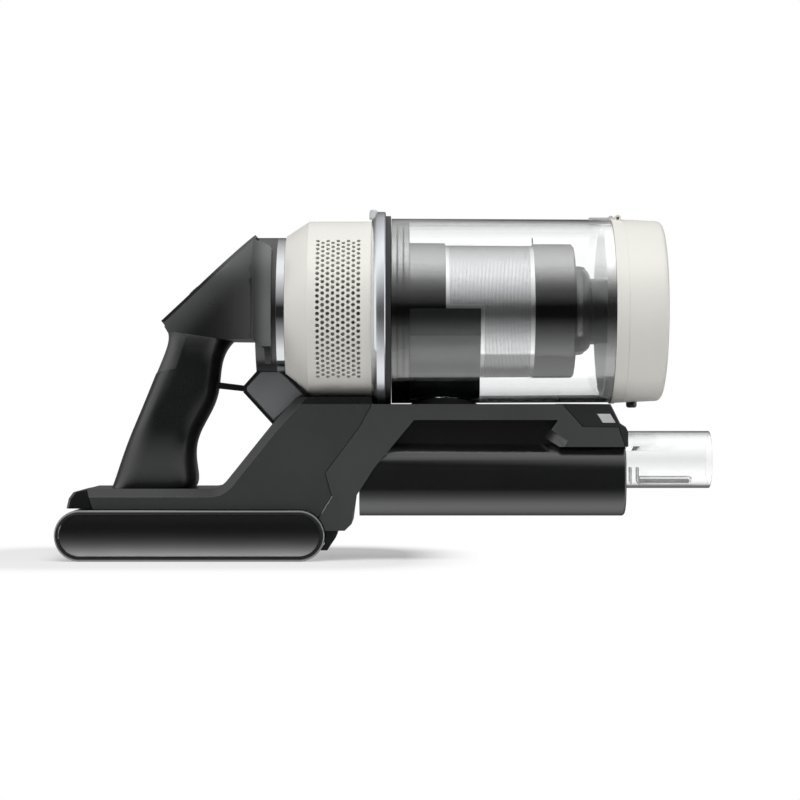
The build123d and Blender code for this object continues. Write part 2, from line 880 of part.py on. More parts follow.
def battery_outline(inset):
    """The battery's rounded outline in the side view, drawn in by inset."""
    with BuildSketch(side_plane(battery_mid_x, 0, battery_mid_z)) as face:
        SlotOverall(battery_length - 2 * inset, battery_height - 2 * inset)
    return face.sketch


with BuildPart() as battery_space:
    extrude(battery_outline(-running_gap), amount=battery_width, both=True)

with BuildPart() as axis_space:
    revolve(
        turned_face(
            [
                (ring_rear_x - seat_gap, 0),
                (ring_rear_x - seat_gap, ring_radius + seat_gap),
                (cover_rear_x - seat_gap, ring_radius + seat_gap),
                (cover_rear_x - seat_gap, cover_rear_radius + 2 * seat_gap),
                (cover_rear_x + cover_chamfer_length - seat_gap, cover_radius + seat_gap),
                (collar_rear_x - running_gap, cover_radius + seat_gap),
                (collar_rear_x - running_gap, collar_radius + running_gap),
                (collar_front_x + running_gap, collar_radius + running_gap),
                (collar_front_x + running_gap, seal_radius + running_gap),
                (seal_front_x + running_gap, seal_radius + running_gap),
                (seal_front_x + running_gap, bin_rear_radius + running_gap),
                (lid_front_x, bin_rear_radius + running_gap),
                (lid_front_x, 0),
            ]
        ),
        axis=bin_axis,
    )

# Front body: duct, saddle and the foot of the arm
seam = [(-8.4, saddle_top_z), (-15.5, 82.0), (-36.7, 53.5), (-32.7, 39.3), (-40.3, 26.9)]
band_bottom_z = saddle_top_z - band_height
box_bottom_z = 69.3
hood_seam = [(106.8, saddle_top_z), (119.3, 81.4), (141.0, 81.0), (145.0, box_bottom_z)]
facet_top = (104.4, band_bottom_z)
facet_foot = (97.1, 74.7)
facet_width = 12.0
front_foot_z = 18.5
band_outline = [(x + seam_gap, z) for x, z in seam]
band_outline += [(-46.0, front_foot_z), (-24.8, front_foot_z), (-20.6, front_foot_z + 4.0)]
band_outline += [(-18.5, 38.4), (-7.0, 56.5)]
band_outline += [(17.2, band_bottom_z), facet_top, facet_foot, (105.5, box_bottom_z)]
band_outline += list(reversed(hood_seam))
hood_front = [(136.4, saddle_top_z), (142.2, 83.6), (145.4, 81.6), (147.0, 78.4), (147.0, box_bottom_z)]
hood_outline = [(x + seam_gap, z + seam_gap / 2) for x, z in hood_seam[:3]]
hood_outline += [(hood_seam[3][0] + seam_gap, box_bottom_z)]
hood_outline += list(reversed(hood_front))
duct_plane = forward_plane(duct_front_x, pipe_axis_z)
hollow_front_x = duct_front_x - duct_front_wall
hollow_rear_x = duct_rear_x + 2 * duct_wall
inner_pipe_radius = pipe_radius - pipe_step
pipe_hole_radius = inner_pipe_radius + seat_gap / 2
elbow_bore = pipe_radius - pipe_wall
elbow_radius = elbow_bore + elbow_wall
elbow_top_z = saddle_top_z - 2.0
port_radius = elbow_radius + gasket_rim
with BuildPart() as duct_housing:
    extrude(duct_section(duct_front_x, 0), amount=duct_rear_x - duct_front_x)
    fillet(duct_housing.faces().sort_by(Axis.X)[-1].edges(), duct_edge_radius)
    with BuildSketch(Plane.XY.offset(pipe_axis_z)):
        with Locations(((duct_rear_x + hood_seam[2][0]) / 2, 0)):
            Rectangle(hood_seam[2][0] - duct_rear_x, 2 * recess_half_width)
    extrude(amount=saddle_top_z - pipe_axis_z)
    extrude(side_face(band_outline), amount=saddle_half_width, both=True)
    # Sloped facet between the side recess and the front box
    facet_along = Vector(facet_top[0] - facet_foot[0], 0, facet_top[1] - facet_foot[1]).normalized()
    facet_across = facet_along.cross(Vector(0, 1, 0)).normalized()
    facet_plane = Plane(
        origin=(facet_foot[0], 0, facet_foot[1]), x_dir=facet_across * -1, z_dir=facet_along
    )
    for side in (-1, 1):
        with BuildSketch(facet_plane):
            with BuildLine():
                Polyline(
                    (-1.0, side * recess_half_width),
                    (0, side * recess_half_width),
                    (facet_width, side * saddle_half_width),
                    (facet_width, side * (saddle_half_width + 1.0)),
                    (-1.0, side * (saddle_half_width + 1.0)),
                    close=True,
                )
            make_face()
        extrude(amount=0.5 * facet_width, both=True, mode=Mode.SUBTRACT)
    # Hollow inside, port to the bin, bore for the intake pipe
    extrude(
        duct_section(hollow_front_x, duct_wall),
        amount=hollow_rear_x - hollow_front_x,
        mode=Mode.SUBTRACT,
    )
    extrude(
        round_section(forward_plane(elbow_x, pipe_axis_z), pipe_radius + elbow_wall + 1.0),
        amount=hollow_front_x - elbow_x,
        mode=Mode.SUBTRACT,
    )
    with BuildSketch(Plane.XY.offset(pipe_axis_z)):
        with Locations((hood_seam[0][0] / 2 - duct_wall, 0)):
            Rectangle(hood_seam[0][0] - 4 * duct_wall, 2 * (recess_half_width - duct_wall))
    extrude(amount=saddle_top_z - duct_wall - pipe_axis_z, mode=Mode.SUBTRACT)
    with BuildSketch(Plane.XZ):
        with BuildLine():
            Polyline(*band_outline[:10], (0, band_bottom_z), close=True)
        make_face()
        offset(amount=-duct_wall, kind=Kind.INTERSECTION)
    extrude(amount=saddle_half_width - duct_wall, both=True, mode=Mode.SUBTRACT)
    extrude(
        round_section(Plane(origin=(elbow_x, 0, pipe_axis_z)), port_radius + seat_gap),
        amount=bin_axis_z - pipe_axis_z,
        mode=Mode.SUBTRACT,
    )
    extrude(
        round_section(duct_plane, pipe_hole_radius),
        amount=-duct_front_wall,
        mode=Mode.SUBTRACT,
    )
    # Room for the rear casing, the hood, the battery and what lies on the bin axis
    casing_room = [(x + seam_gap, z) for x, z in seam]
    casing_room += [(cover_rear_x, seam[-1][1]), (cover_rear_x, bin_axis_z)]
    casing_room += [(casing_room[0][0], bin_axis_z)]
    extrude(side_face(casing_room), amount=2 * saddle_half_width, both=True, mode=Mode.SUBTRACT)
    hood_room = [*hood_seam, (pipe_end_x, box_bottom_z), (pipe_end_x, bin_axis_z)]
    hood_room += [(hood_seam[0][0], bin_axis_z)]
    extrude(side_face(hood_room), amount=2 * saddle_half_width, both=True, mode=Mode.SUBTRACT)
    add(battery_space.part, mode=Mode.SUBTRACT)
    add(axis_space.part, mode=Mode.SUBTRACT)
write_piece(duct_housing, "duct_housing")

# Nose hood, with a slanted pocket on each side for the release buttons
button_outline = [(128.1, 89.3), (136.0, 89.3), (139.4, 83.9), (131.6, 83.9)]
pocket_depth = 4.2
with BuildPart() as front_hood:
    extrude(side_face(hood_outline), amount=saddle_half_width - 0.6, both=True)
    hood_sides = front_hood.edges().filter_by(lambda edge: abs(edge.center().Y) > saddle_half_width - 1.0)
    hood_slope = hood_sides.filter_by(lambda edge: edge.center().X > hood_front[0][0])
    hood_slope = hood_slope.filter_by(lambda edge: edge.center().Z > hood_front[2][1])
    fillet(hood_slope, 1.0)
    extrude(
        round_section(duct_plane, pipe_hole_radius),
        amount=2 * duct_front_wall,
        both=True,
        mode=Mode.SUBTRACT,
    )
    add(axis_space.part, mode=Mode.SUBTRACT)
    with BuildSketch(Plane.XZ):
        with BuildLine():
            Polyline(*button_outline, close=True)
        make_face()
        offset(amount=running_gap, kind=Kind.INTERSECTION)
    extrude(amount=saddle_half_width, both=True, mode=Mode.SUBTRACT)
    with BuildSketch(Plane.XZ):
        with BuildLine():
            Polyline(*button_outline, close=True)
        make_face()
        offset(amount=2 * running_gap, kind=Kind.INTERSECTION)
    extrude(amount=saddle_half_width - pocket_depth - release_travel - running_gap - 0.6, both=True)
write_piece(front_hood, "front_hood")

for side, name in ((1, "release_button_left"), (-1, "release_button_right")):
    button_plane = side_plane(0, side * (saddle_half_width - 0.4), 0)
    with BuildPart() as release_button:
        with BuildSketch(button_plane):
            with BuildLine():
                Polyline(*button_outline, close=True)
            make_face()
        extrude(amount=side * pocket_depth)
        fillet(release_button.faces().sort_by(Axis.Y)[-1 if side > 0 else 0].edges(), 0.4)
    write_piece(release_button, name)

# Intake pipe, elbow up to the bin and its gasket
pipe_rear_x = elbow_x + elbow_bend_radius
spigot_rear_x = hood_front[-1][0]
pipe_plane = forward_plane(pipe_rear_x, pipe_axis_z)
with BuildPart() as intake_pipe:
    extrude(round_section(pipe_plane, inner_pipe_radius), amount=pipe_end_x - pipe_rear_x)
    spigot_plane = forward_plane(spigot_rear_x, pipe_axis_z)
    extrude(round_section(spigot_plane, pipe_radius), amount=pipe_end_x - spigot_rear_x)
    extrude(round_section(pipe_plane, elbow_bore), amount=pipe_end_x - pipe_rear_x, mode=Mode.SUBTRACT)
    fillet(intake_pipe.edges().filter_by(GeomType.CIRCLE).group_by(Axis.X)[-1], pipe_wall / 3)
write_piece(intake_pipe, "intake_pipe")

with BuildPart() as inlet_elbow:
    with BuildLine() as elbow_path:
        Line((pipe_rear_x + 0.01, 0, pipe_axis_z), (pipe_rear_x, 0, pipe_axis_z))
        ThreePointArc(
            (pipe_rear_x, 0, pipe_axis_z),
            (
                pipe_rear_x - elbow_bend_radius * sin(pi / 4),
                0,
                pipe_axis_z + elbow_bend_radius * (1 - cos(pi / 4)),
            ),
            (elbow_x, 0, pipe_axis_z + elbow_bend_radius),
        )
        Line((elbow_x, 0, pipe_axis_z + elbow_bend_radius), (elbow_x, 0, elbow_top_z))
    elbow_start = Plane(elbow_path.line @ 0, x_dir=(0, 1, 0), z_dir=elbow_path.line % 0)
    sweep(round_section(elbow_start, elbow_radius), path=elbow_path.line)
    extrude(round_section(pipe_plane, pipe_radius + elbow_wall), amount=elbow_socket_length)
    extrude(round_section(Plane(origin=(elbow_x, 0, elbow_top_z)), port_radius), amount=-2.0)
    sweep(round_section(elbow_start, elbow_bore), path=elbow_path.line, mode=Mode.SUBTRACT)
    extrude(round_section(pipe_plane, pipe_hole_radius), amount=elbow_socket_length, mode=Mode.SUBTRACT)
write_piece(inlet_elbow, "inlet_elbow")

with BuildPart() as inlet_gasket:
    port_plane = Plane(origin=(elbow_x, 0, elbow_top_z))
    extrude(round_section(port_plane, port_radius), amount=port_radius)
    extrude(round_section(port_plane, elbow_bore), amount=port_radius, mode=Mode.SUBTRACT)
    revolve(
        turned_ring(seal_front_x, lid_rear_x, 0, bin_rear_radius + running_gap),
        axis=bin_axis,
        mode=Mode.SUBTRACT,
    )
write_piece(inlet_gasket, "inlet_gasket")

# Contacts for powered tools, in the lower side of the spigot
rail_rear_x = duct_front_x + 10.5
rail_top_z = pipe_axis_z - 10.6
rail_half_width = 7.0
pin_z = rail_top_z - 2.4
with BuildPart() as contact_rail:
    rail_plane = forward_plane(rail_rear_x, pipe_axis_z)
    extrude(round_section(rail_plane, elbow_bore - seat_gap / 2), amount=rail_length)
    with BuildSketch(Plane(origin=(rail_rear_x + rail_length / 2, 0, rail_top_z))):
        Rectangle(rail_length, 2 * rail_half_width)
    extrude(amount=-pipe_radius, mode=Mode.INTERSECT)
    with BuildSketch(forward_plane(rail_rear_x, pin_z)):
        with GridLocations(rail_half_width - 2.6, 1, 3, 1):
            Circle(pin_radius)
    extrude(amount=rail_length, mode=Mode.SUBTRACT)
write_piece(contact_rail, "contact_rail")

with BuildPart() as contact_pins:
    with BuildSketch(forward_plane(rail_rear_x, pin_z)):
        with GridLocations(rail_half_width - 2.6, 1, 3, 1):
            Circle(pin_radius)
    extrude(amount=rail_length - 1.5)
write_piece(contact_pins, "contact_pins")

# Battery: case with a side panel on each face, cells on a tray, board, contacts
half_battery = battery_width / 2
case_bore_depth = half_battery - side_panel_thickness - battery_wall
cells_length = (cell_count - 1) * cell_pitch
cell_floor_z = battery_mid_z - cell_radius - seat_gap / 2
with BuildPart() as battery_case:
    extrude(battery_outline(0), amount=half_battery, both=True)
    case_rims = battery_case.edges().filter_by(lambda edge: abs(edge.center().Y) > half_battery - 0.1)
    fillet(case_rims, battery_edge_radius)
    extrude(battery_outline(battery_wall), amount=case_bore_depth, both=True, mode=Mode.SUBTRACT)
    for side in (-1, 1):
        pocket = battery_outline(battery_rim)
        pocket.move(Location((0, side * (half_battery - side_panel_thickness), 0)))
        extrude(pocket, amount=-side * battery_width, mode=Mode.SUBTRACT)
    with BuildSketch(Plane.XY.offset(cell_floor_z)):
        with Locations((battery_mid_x, 0)):
            Rectangle(cells_length, cell_length)
    extrude(amount=battery_wall - cell_floor_z)
    with BuildSketch(forward_plane(battery_front_x, battery_mid_z)):
        with GridLocations(contact_pitch, 1, contact_count, 1):
            Rectangle(contact_width, contact_height)
    extrude(amount=-2 * battery_wall, mode=Mode.SUBTRACT)
write_piece(battery_case, "battery_case")

# The contacts lie a little behind the case's rounded front
contact_depth = 0.2 + battery_height / 2 - sqrt(battery_height**2 - contact_height**2) / 2
with BuildPart() as battery_contacts:
    with BuildSketch(forward_plane(battery_front_x, battery_mid_z)):
        with GridLocations(contact_pitch, 1, contact_count, 1):
            Rectangle(contact_width - seat_gap, contact_height - seat_gap)
    extrude(amount=-2 * battery_wall)
    with BuildSketch(forward_plane(battery_front_x, battery_mid_z)):
        Rectangle(battery_width, battery_height)
    extrude(amount=-contact_depth, mode=Mode.SUBTRACT)
write_piece(battery_contacts, "battery_contacts")

crown_centre_y = half_battery - 0.3 - side_panel_crown
with BuildPart() as battery_side_panels:
    for side in (-1, 1):
        plate = battery_outline(battery_rim + seat_gap)
        plate.move(Location((0, side * (half_battery - side_panel_thickness), 0)))
        extrude(plate, amount=-side * side_panel_thickness)
    with BuildSketch(forward_plane(battery_mid_x, battery_mid_z)):
        Circle(side_panel_crown)
        with Locations((crown_centre_y, 0)):
            Circle(side_panel_crown, mode=Mode.INTERSECT)
        with Locations((-crown_centre_y, 0)):
            Circle(side_panel_crown, mode=Mode.INTERSECT)
    extrude(amount=battery_length, both=True, mode=Mode.INTERSECT)
write_piece(battery_side_panels, "battery_side_panels")

with BuildPart() as battery_cells:
    with BuildSketch(side_plane(battery_mid_x, 0, battery_mid_z)):
        with GridLocations(cell_pitch, 1, cell_count, 1):
            Circle(cell_radius)
    extrude(amount=cell_length / 2, both=True)
write_piece(battery_cells, "battery_cells")

with BuildPart() as battery_board:
    with BuildSketch(Plane(origin=(battery_mid_x, 0, battery_mid_z + cell_radius + seat_gap / 2))):
        Rectangle(cells_length, cell_length - 10.0)
    extrude(amount=board_thickness)
write_piece(battery_board, "battery_board")

# Socket in front of the battery, with its blades
socket_outline = [(-46.0, front_foot_z), (-46.0, 5.8), (-35.7, 5.8), (-30.5, 13.6), (-29.0, front_foot_z)]
with BuildPart() as battery_socket:
    extrude(side_face(socket_outline), amount=socket_half_width, both=True)
    add(battery_space.part, mode=Mode.SUBTRACT)
    with BuildSketch(forward_plane(battery_front_x, battery_mid_z)):
        with GridLocations(contact_pitch, 1, contact_count, 1):
            Rectangle(contact_width, contact_height - 4.0)
    extrude(amount=4.0, mode=Mode.SUBTRACT)
write_piece(battery_socket, "battery_socket")

with BuildPart() as socket_blades:
    with BuildSketch(forward_plane(battery_front_x + running_gap, battery_mid_z)):
        with GridLocations(contact_pitch, 1, contact_count, 1):
            Rectangle(contact_width - seat_gap, contact_height - 4.0 - seat_gap)
    extrude(amount=4.0 - running_gap)
write_piece(socket_blades, "socket_blades")

# Rear casing: deck and arm, grip and head as one hollow body, parted along the middle
arm_top_z = bin_axis_z - cover_radius + 2.2
deck_slant = 4.2
chamfer_front_x = -58.0
deck_bend = (-100.5, deck_top_z)
frame_outline = [(deck_rear_x, deck_bottom_z), (deck_rear_x - deck_slant, deck_top_z), deck_bend]
frame_outline += [(-69.4, 82.5), (-54.0, arm_top_z), (seam[0][0], arm_top_z), *seam]
frame_outline += [(-52.4, seam[-1][1]), (-52.4, deck_bottom_z)]
grip_stations = [
    (40.8, -172.1, -128.9, grip_width),
    (70.0, -160.3, -117.0, grip_width - 1.0),
    (103.0, -146.8, -103.6, grip_width - 1.0),
    (116.0, -141.5, -102.0, grip_width - 1.0),
    (128.0, -136.6, -98.5, grip_width + 1.0),
    (136.0, -134.5, -92.0, grip_width + 6.0),
    (143.0, -136.8, -84.0, grip_width + 12.0),
]
grip_corner_radius = 15.0
bridge_outline = [(-106.0, 109.0), (-84.0, 106.2), (-84.0, 102.6), (-106.0, 105.0)]
neck_outline = [(-85.0, 105.6), (-85.0, 103.0), (-68.2, 84.6), (-50.0, 101.0), (-56.0, 107.5)]
neck_outline += [(-69.0, 119.6), (-72.5, 119.6)]
head_front_x = -69.0
head_waist_x = -79.6
head_mid_x = -108.0
head_tip_x = -137.6
head_outline = [panel_point(0, -panel_thickness), (-133.0, 140.0), (-97.0, 134.3), (-80.0, 134.3)]
head_outline += [(-72.8, 128.6), (-72.5, 119.6), (head_front_x, 119.6), (head_front_x, 189.5)]
head_outline += [(-70.3, 191.3), (-78.9, 195.0)]
head_outline += [panel_point(panel_length, -panel_thickness)]
head_wall = 3.0
panel_opening = (20.0, 70.0)
panel_opening_half_width = 21.0
latch_slot_half_width = 10.6
latch_slot_z = (33.6, 39.8)
shell_screw_spots = [(-165.0, 35.2, 31.5), (-108.0, 35.2, 31.5), (-62.0, 62.0, 31.5), (-32.0, 78.0, 31.5)]
shell_screw_spots += [(-97.0, 155.0, 34.5)]
screw_head_height = 2.0
main_board_ends = (-158.0, -114.0)
main_board_half_width = 24.0
main_board_z = deck_bottom_z + casing_wall + 1.9
cavity_half_width = deck_half_width - 6.0
neck_rim = 1.7
pad_outline = [(-146.0, 139.6), (-129.4, 139.6), (-123.0, 138.0), (-122.1, 136.2)]
pad_outline += [(-128.9, 116.9), (-146.0, 113.4)]


def grip_body(inset):
    """The grip's solid form, drawn in by inset."""
    with BuildPart() as body:
        for height, rear_x, front_x, width in grip_stations:
            with BuildSketch(Plane(origin=((rear_x + front_x) / 2, 0, height))):
                length = front_x - rear_x - 2 * inset
                RectangleRounded(length, width - 2 * inset, grip_corner_radius - inset)
        loft()
    return body.part


def head_taper(inset):
    """The head's plan taper as a solid, drawn in by inset."""
    front = [(head_front_x, head_front_half_width), (head_waist_x, head_waist_half_width)]
    rear = [front[1], (head_mid_x, head_mid_half_width), (head_tip_x, head_tip_half_width)]
    with BuildPart() as body:
        for stations in (front, rear):
            for x, half_width in stations:
                corner = min(head_corner_radius, half_width - 1.0)
                with BuildSketch(bin_station(x)):
                    RectangleRounded(2 * (half_width - inset), head_height - 2 * inset, corner - inset)
            loft()
    return body.part


def pad_prism(grow):
    """The grip pad's outline in the side view, right across the grip."""
    with BuildPart() as body:
        with BuildSketch(Plane.XZ):
            with BuildLine():
                Polyline(*pad_outline, close=True)
            make_face()
            offset(amount=grow, kind=Kind.INTERSECTION)
        extrude(amount=grip_width, both=True)
    return body.part


with BuildPart() as head_body:
    extrude(side_face(head_outline), amount=head_front_half_width + 5.0, both=True)
    add(head_taper(0), mode=Mode.INTERSECT)

with BuildPart() as head_hollow:
    with BuildSketch(Plane.XZ):
        with BuildLine():
            Polyline(*head_outline, close=True)
        make_face()
        offset(amount=-head_wall, kind=Kind.INTERSECTION)
    extrude(amount=head_front_half_width, both=True)
    add(head_taper(head_wall), mode=Mode.INTERSECT)
    split(bisect_by=Plane.YZ.offset(ring_rear_x - seat_gap - casing_wall), keep=Keep.BOTTOM)

with BuildPart() as frame_hollow:
    with BuildSketch(Plane.XZ):
        with BuildLine():
            Polyline(*frame_outline, close=True)
        make_face()
        offset(amount=-casing_wall, kind=Kind.INTERSECTION)
    extrude(amount=cavity_half_width, both=True)
    battery_wrap = battery_outline(-running_gap - casing_wall)
    extrude(battery_wrap, amount=battery_width, both=True, mode=Mode.SUBTRACT)
    revolve(
        turned_ring(cover_rear_x - casing_wall, collar_front_x, 0, cover_radius + casing_wall),
        axis=bin_axis,
        mode=Mode.SUBTRACT,
    )
    extrude(side_face(neck_outline), amount=neck_half_width + casing_wall, both=True, mode=Mode.SUBTRACT)

with BuildPart() as pad_pocket:
    add(pad_prism(seat_gap / 2))
    add(grip_body(-seat_gap), mode=Mode.INTERSECT)
    add(grip_body(grip_pad_depth + seat_gap), mode=Mode.SUBTRACT)

with BuildPart() as rear_body:
    with BuildSketch(Plane.XZ) as frame_face:
        with BuildLine():
            Polyline(*frame_outline, close=True)
        make_face()
        bend = frame_face.vertices().sort_by_distance((deck_bend[0], 0, deck_bend[1]))[0]
        fillet(bend, 14.0)
    extrude(amount=deck_half_width, both=True)
    deck_edges = rear_body.edges().filter_by(lambda edge: abs(edge.center().Y) > deck_half_width - 0.1)
    deck_rims = deck_edges.filter_by(lambda edge: edge.center().Z > deck_top_z - 0.1)
    deck_rims = deck_rims.filter_by(lambda edge: edge.center().X < chamfer_front_x)
    chamfer(deck_rims, deck_chamfer)
    add(grip_body(0))
    add(head_body.part)
    extrude(side_face(bridge_outline), amount=bridge_half_width, both=True)
    with BuildSketch(Plane.XZ):
        with BuildLine():
            Polyline(*neck_outline, close=True)
        make_face()
        offset(amount=neck_rim, kind=Kind.INTERSECTION)
    extrude(amount=neck_half_width, both=True)
    add(frame_hollow.part, mode=Mode.SUBTRACT)
    add(grip_body(grip_wall), mode=Mode.SUBTRACT)
    add(head_hollow.part, mode=Mode.SUBTRACT)
    # Ribs under the board, bosses for the screws
    for x in main_board_ends:
        with BuildSketch(Plane.XY.offset(deck_bottom_z + casing_wall)):
            with Locations((x, 0)):
                Rectangle(3.0, 2 * cavity_half_width)
        extrude(amount=main_board_z - deck_bottom_z - casing_wall)
    for x, z, head_y in shell_screw_spots:
        extrude(round_section(side_plane(x, head_y, z), boss_radius), amount=2 * head_y)
    for x, z, head_y in shell_screw_spots:
        screw_plane = side_plane(x, head_y - screw_head_height, z)
        extrude(round_section(screw_plane, screw_radius), amount=head_y + 20.0, mode=Mode.SUBTRACT)
        head_recess = round_section(screw_plane, screw_head_radius + seat_gap)
        extrude(head_recess, amount=-2 * deck_half_width, mode=Mode.SUBTRACT)
    # Room for the neck, the panel's works, the latch tongue, the pad, the battery and the bin axis
    with BuildSketch(Plane.XZ):
        with BuildLine():
            Polyline(*neck_outline, close=True)
        make_face()
        offset(amount=seat_gap / 2, kind=Kind.INTERSECTION)
    extrude(amount=neck_half_width + seat_gap / 2, both=True, mode=Mode.SUBTRACT)
    with BuildSketch(panel_plane):
        with Locations((sum(panel_opening) / 2, 0)):
            Rectangle(panel_opening[1] - panel_opening[0], 2 * panel_opening_half_width)
    extrude(amount=-panel_thickness - 3 * head_wall, mode=Mode.SUBTRACT)
    with BuildSketch(Plane.YZ.offset(deck_rear_x - 2 * deck_slant)):
        with Locations((0, sum(latch_slot_z) / 2)):
            Rectangle(2 * latch_slot_half_width, latch_slot_z[1] - latch_slot_z[0])
    extrude(amount=3 * deck_slant, mode=Mode.SUBTRACT)
    add(pad_pocket.part, mode=Mode.SUBTRACT)
    add(battery_space.part, mode=Mode.SUBTRACT)
    add(axis_space.part, mode=Mode.SUBTRACT)

for keep, name in ((Keep.TOP, "rear_shell_right"), (Keep.BOTTOM, "rear_shell_left")):
    with BuildPart() as rear_shell:
        add(rear_body.part)
        split(bisect_by=Plane.XZ, keep=keep)
    write_piece(rear_shell, name)

with BuildPart() as neck_bracket:
    extrude(side_face(neck_outline), amount=neck_half_width, both=True)
    neck_rims = neck_bracket.edges().filter_by(lambda edge: abs(edge.center().Y) > neck_half_width - 0.1)
    chamfer(neck_rims, 1.0)
    add(axis_space.part, mode=Mode.SUBTRACT)
write_piece(neck_bracket, "neck_bracket")

with BuildPart() as shell_screws:
    for x, z, head_y in shell_screw_spots:
        screw_plane = side_plane(x, head_y - screw_head_height, z)
        extrude(round_section(screw_plane, screw_radius), amount=head_y + 18.0)
        extrude(round_section(screw_plane, screw_head_radius), amount=-screw_head_height)
        with BuildSketch(screw_plane.offset(-screw_head_height)):
            RegularPolygon(screw_radius, 6)
        extrude(amount=0.6 * screw_head_height, mode=Mode.SUBTRACT)
write_piece(shell_screws, "shell_screws")

with BuildPart() as main_board:
    with BuildSketch(Plane.XY.offset(main_board_z)):
        with Locations((sum(main_board_ends) / 2, 0)):
            Rectangle(main_board_ends[1] - main_board_ends[0], 2 * main_board_half_width)
    extrude(amount=board_thickness)
write_piece(main_board, "main_board")

with BuildPart() as grip_pad:
    add(pad_prism(0))
    add(grip_body(0.3), mode=Mode.INTERSECT)
    add(grip_body(grip_pad_depth), mode=Mode.SUBTRACT)
write_piece(grip_pad, "grip_pad")

# Control panel on the head's slope, with its display, board and buttons
flange_top = panel_thickness + running_gap
board_top = flange_top + button_flange_thickness + button_travel + running_gap
buttons = [("power_button", 0.0, power_button_radius)]
buttons += [("minus_button", -button_spacing, side_button_radius)]
buttons += [("plus_button", button_spacing, side_button_radius)]
post_radius = 1.5
post_spots = [(38.0, -17.0), (38.0, 17.0), (66.0, -15.0), (66.0, 15.0)]
with BuildPart() as control_panel:
    with BuildSketch(panel_plane):
        with Locations((panel_length / 2, 0)):
            Rectangle(panel_length, 2 * head_front_half_width)
    extrude(amount=-panel_thickness)
    add(head_taper(0), mode=Mode.INTERSECT)
    with BuildSketch(panel_plane):
        with Locations((display_offset, 0)):
            RectangleRounded(display_length, display_width, 3.0)
    extrude(amount=-display_thickness, mode=Mode.SUBTRACT)
    for name, across, radius in buttons:
        with BuildSketch(panel_plane):
            with Locations((button_offset, across)):
                Circle(radius + running_gap)
        extrude(amount=-panel_thickness, mode=Mode.SUBTRACT)
    with BuildSketch(panel_plane.offset(-panel_thickness)):
        with Locations(*post_spots):
            Circle(post_radius)
    extrude(amount=panel_thickness - board_top)
    add(axis_space.part, mode=Mode.SUBTRACT)
write_piece(control_panel, "control_panel")

with BuildPart() as display_window:
    with BuildSketch(panel_plane):
        with Locations((display_offset, 0)):
            RectangleRounded(display_length - seat_gap, display_width - seat_gap, 3.0)
    extrude(amount=-display_thickness)
write_piece(display_window, "display_window")

with BuildPart() as display_board:
    with BuildSketch(panel_plane.offset(-board_top)):
        with Locations((sum(panel_opening) / 2, 0)):
            Rectangle(panel_opening[1] - panel_opening[0] - 2.0, 2 * panel_opening_half_width - 2.0)
    extrude(amount=-board_thickness)
write_piece(display_board, "display_board")

for name, across, radius in buttons:
    with BuildPart() as panel_button:
        with BuildSketch(panel_plane.offset(button_rise)):
            with Locations((button_offset, across)):
                Circle(radius)
        extrude(amount=-button_rise - flange_top - button_flange_thickness)
        button_axis = Axis(panel_plane.origin, panel_plane.z_dir)
        button_rims = panel_button.edges().filter_by(GeomType.CIRCLE).sort_by(button_axis)
        fillet(button_rims[-1], button_rise / 2)
        with BuildSketch(panel_plane.offset(-flange_top)):
            with Locations((button_offset, across)):
                Circle(radius + button_flange)
        extrude(amount=-button_flange_thickness)
    write_piece(panel_button, name)

# Battery latch behind the deck
latch_bottom_z = battery_height + 2 * running_gap
latch_gap = 0.4
latch_half_width = deck_half_width - 1.0
tongue_z = latch_slot_z[0] + 2.0
latch_front_x = deck_rear_x - latch_gap
latch_outline = [(-193.7, latch_bottom_z), (-192.3, 38.0), (-189.5, 41.8)]
latch_outline += [(latch_front_x - deck_slant, deck_top_z - latch_gap), (latch_front_x, latch_bottom_z)]
with BuildPart() as battery_latch:
    extrude(side_face(latch_outline), amount=latch_half_width, both=True)
    latch_rims = battery_latch.edges().filter_by(lambda edge: abs(edge.center().Y) > latch_half_width - 0.1)
    chamfer(latch_rims.sort_by(Axis.X)[:3], 1.5)
    with BuildSketch(Plane.YZ.offset(deck_rear_x - deck_slant)):
        with Locations((0, tongue_z)):
            Rectangle(2 * latch_slot_half_width - 1.2, 3.0)
    extrude(amount=deck_slant + 3.6)
write_piece(battery_latch, "battery_latch")
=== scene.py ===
import json
from math import asin, cos, pi, radians, sin

import bmesh
import bpy
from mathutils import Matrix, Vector


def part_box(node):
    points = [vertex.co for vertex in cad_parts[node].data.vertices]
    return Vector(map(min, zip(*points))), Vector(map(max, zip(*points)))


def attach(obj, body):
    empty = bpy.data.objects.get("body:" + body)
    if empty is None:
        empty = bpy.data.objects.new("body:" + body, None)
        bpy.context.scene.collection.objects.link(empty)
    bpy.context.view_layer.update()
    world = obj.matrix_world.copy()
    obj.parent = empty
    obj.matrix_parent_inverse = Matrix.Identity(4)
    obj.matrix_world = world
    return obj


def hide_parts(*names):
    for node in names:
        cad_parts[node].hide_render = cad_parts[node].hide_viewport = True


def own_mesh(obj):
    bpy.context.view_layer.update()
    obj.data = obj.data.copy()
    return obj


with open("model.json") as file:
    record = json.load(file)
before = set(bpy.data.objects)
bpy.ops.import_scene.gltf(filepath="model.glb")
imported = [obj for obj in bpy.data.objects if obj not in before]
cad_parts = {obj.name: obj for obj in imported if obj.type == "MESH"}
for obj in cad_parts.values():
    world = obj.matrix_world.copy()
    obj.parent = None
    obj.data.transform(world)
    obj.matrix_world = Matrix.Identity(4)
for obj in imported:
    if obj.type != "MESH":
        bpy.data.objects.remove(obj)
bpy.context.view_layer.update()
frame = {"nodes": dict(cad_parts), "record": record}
nodes = frame["nodes"]
mm = 0.001
binAxisZ = 152.8 * mm  # the bin, the motor and the lid share this axis along X
pipeAxisZ = 60.8 * mm
saddleTopZ = 95.2 * mm
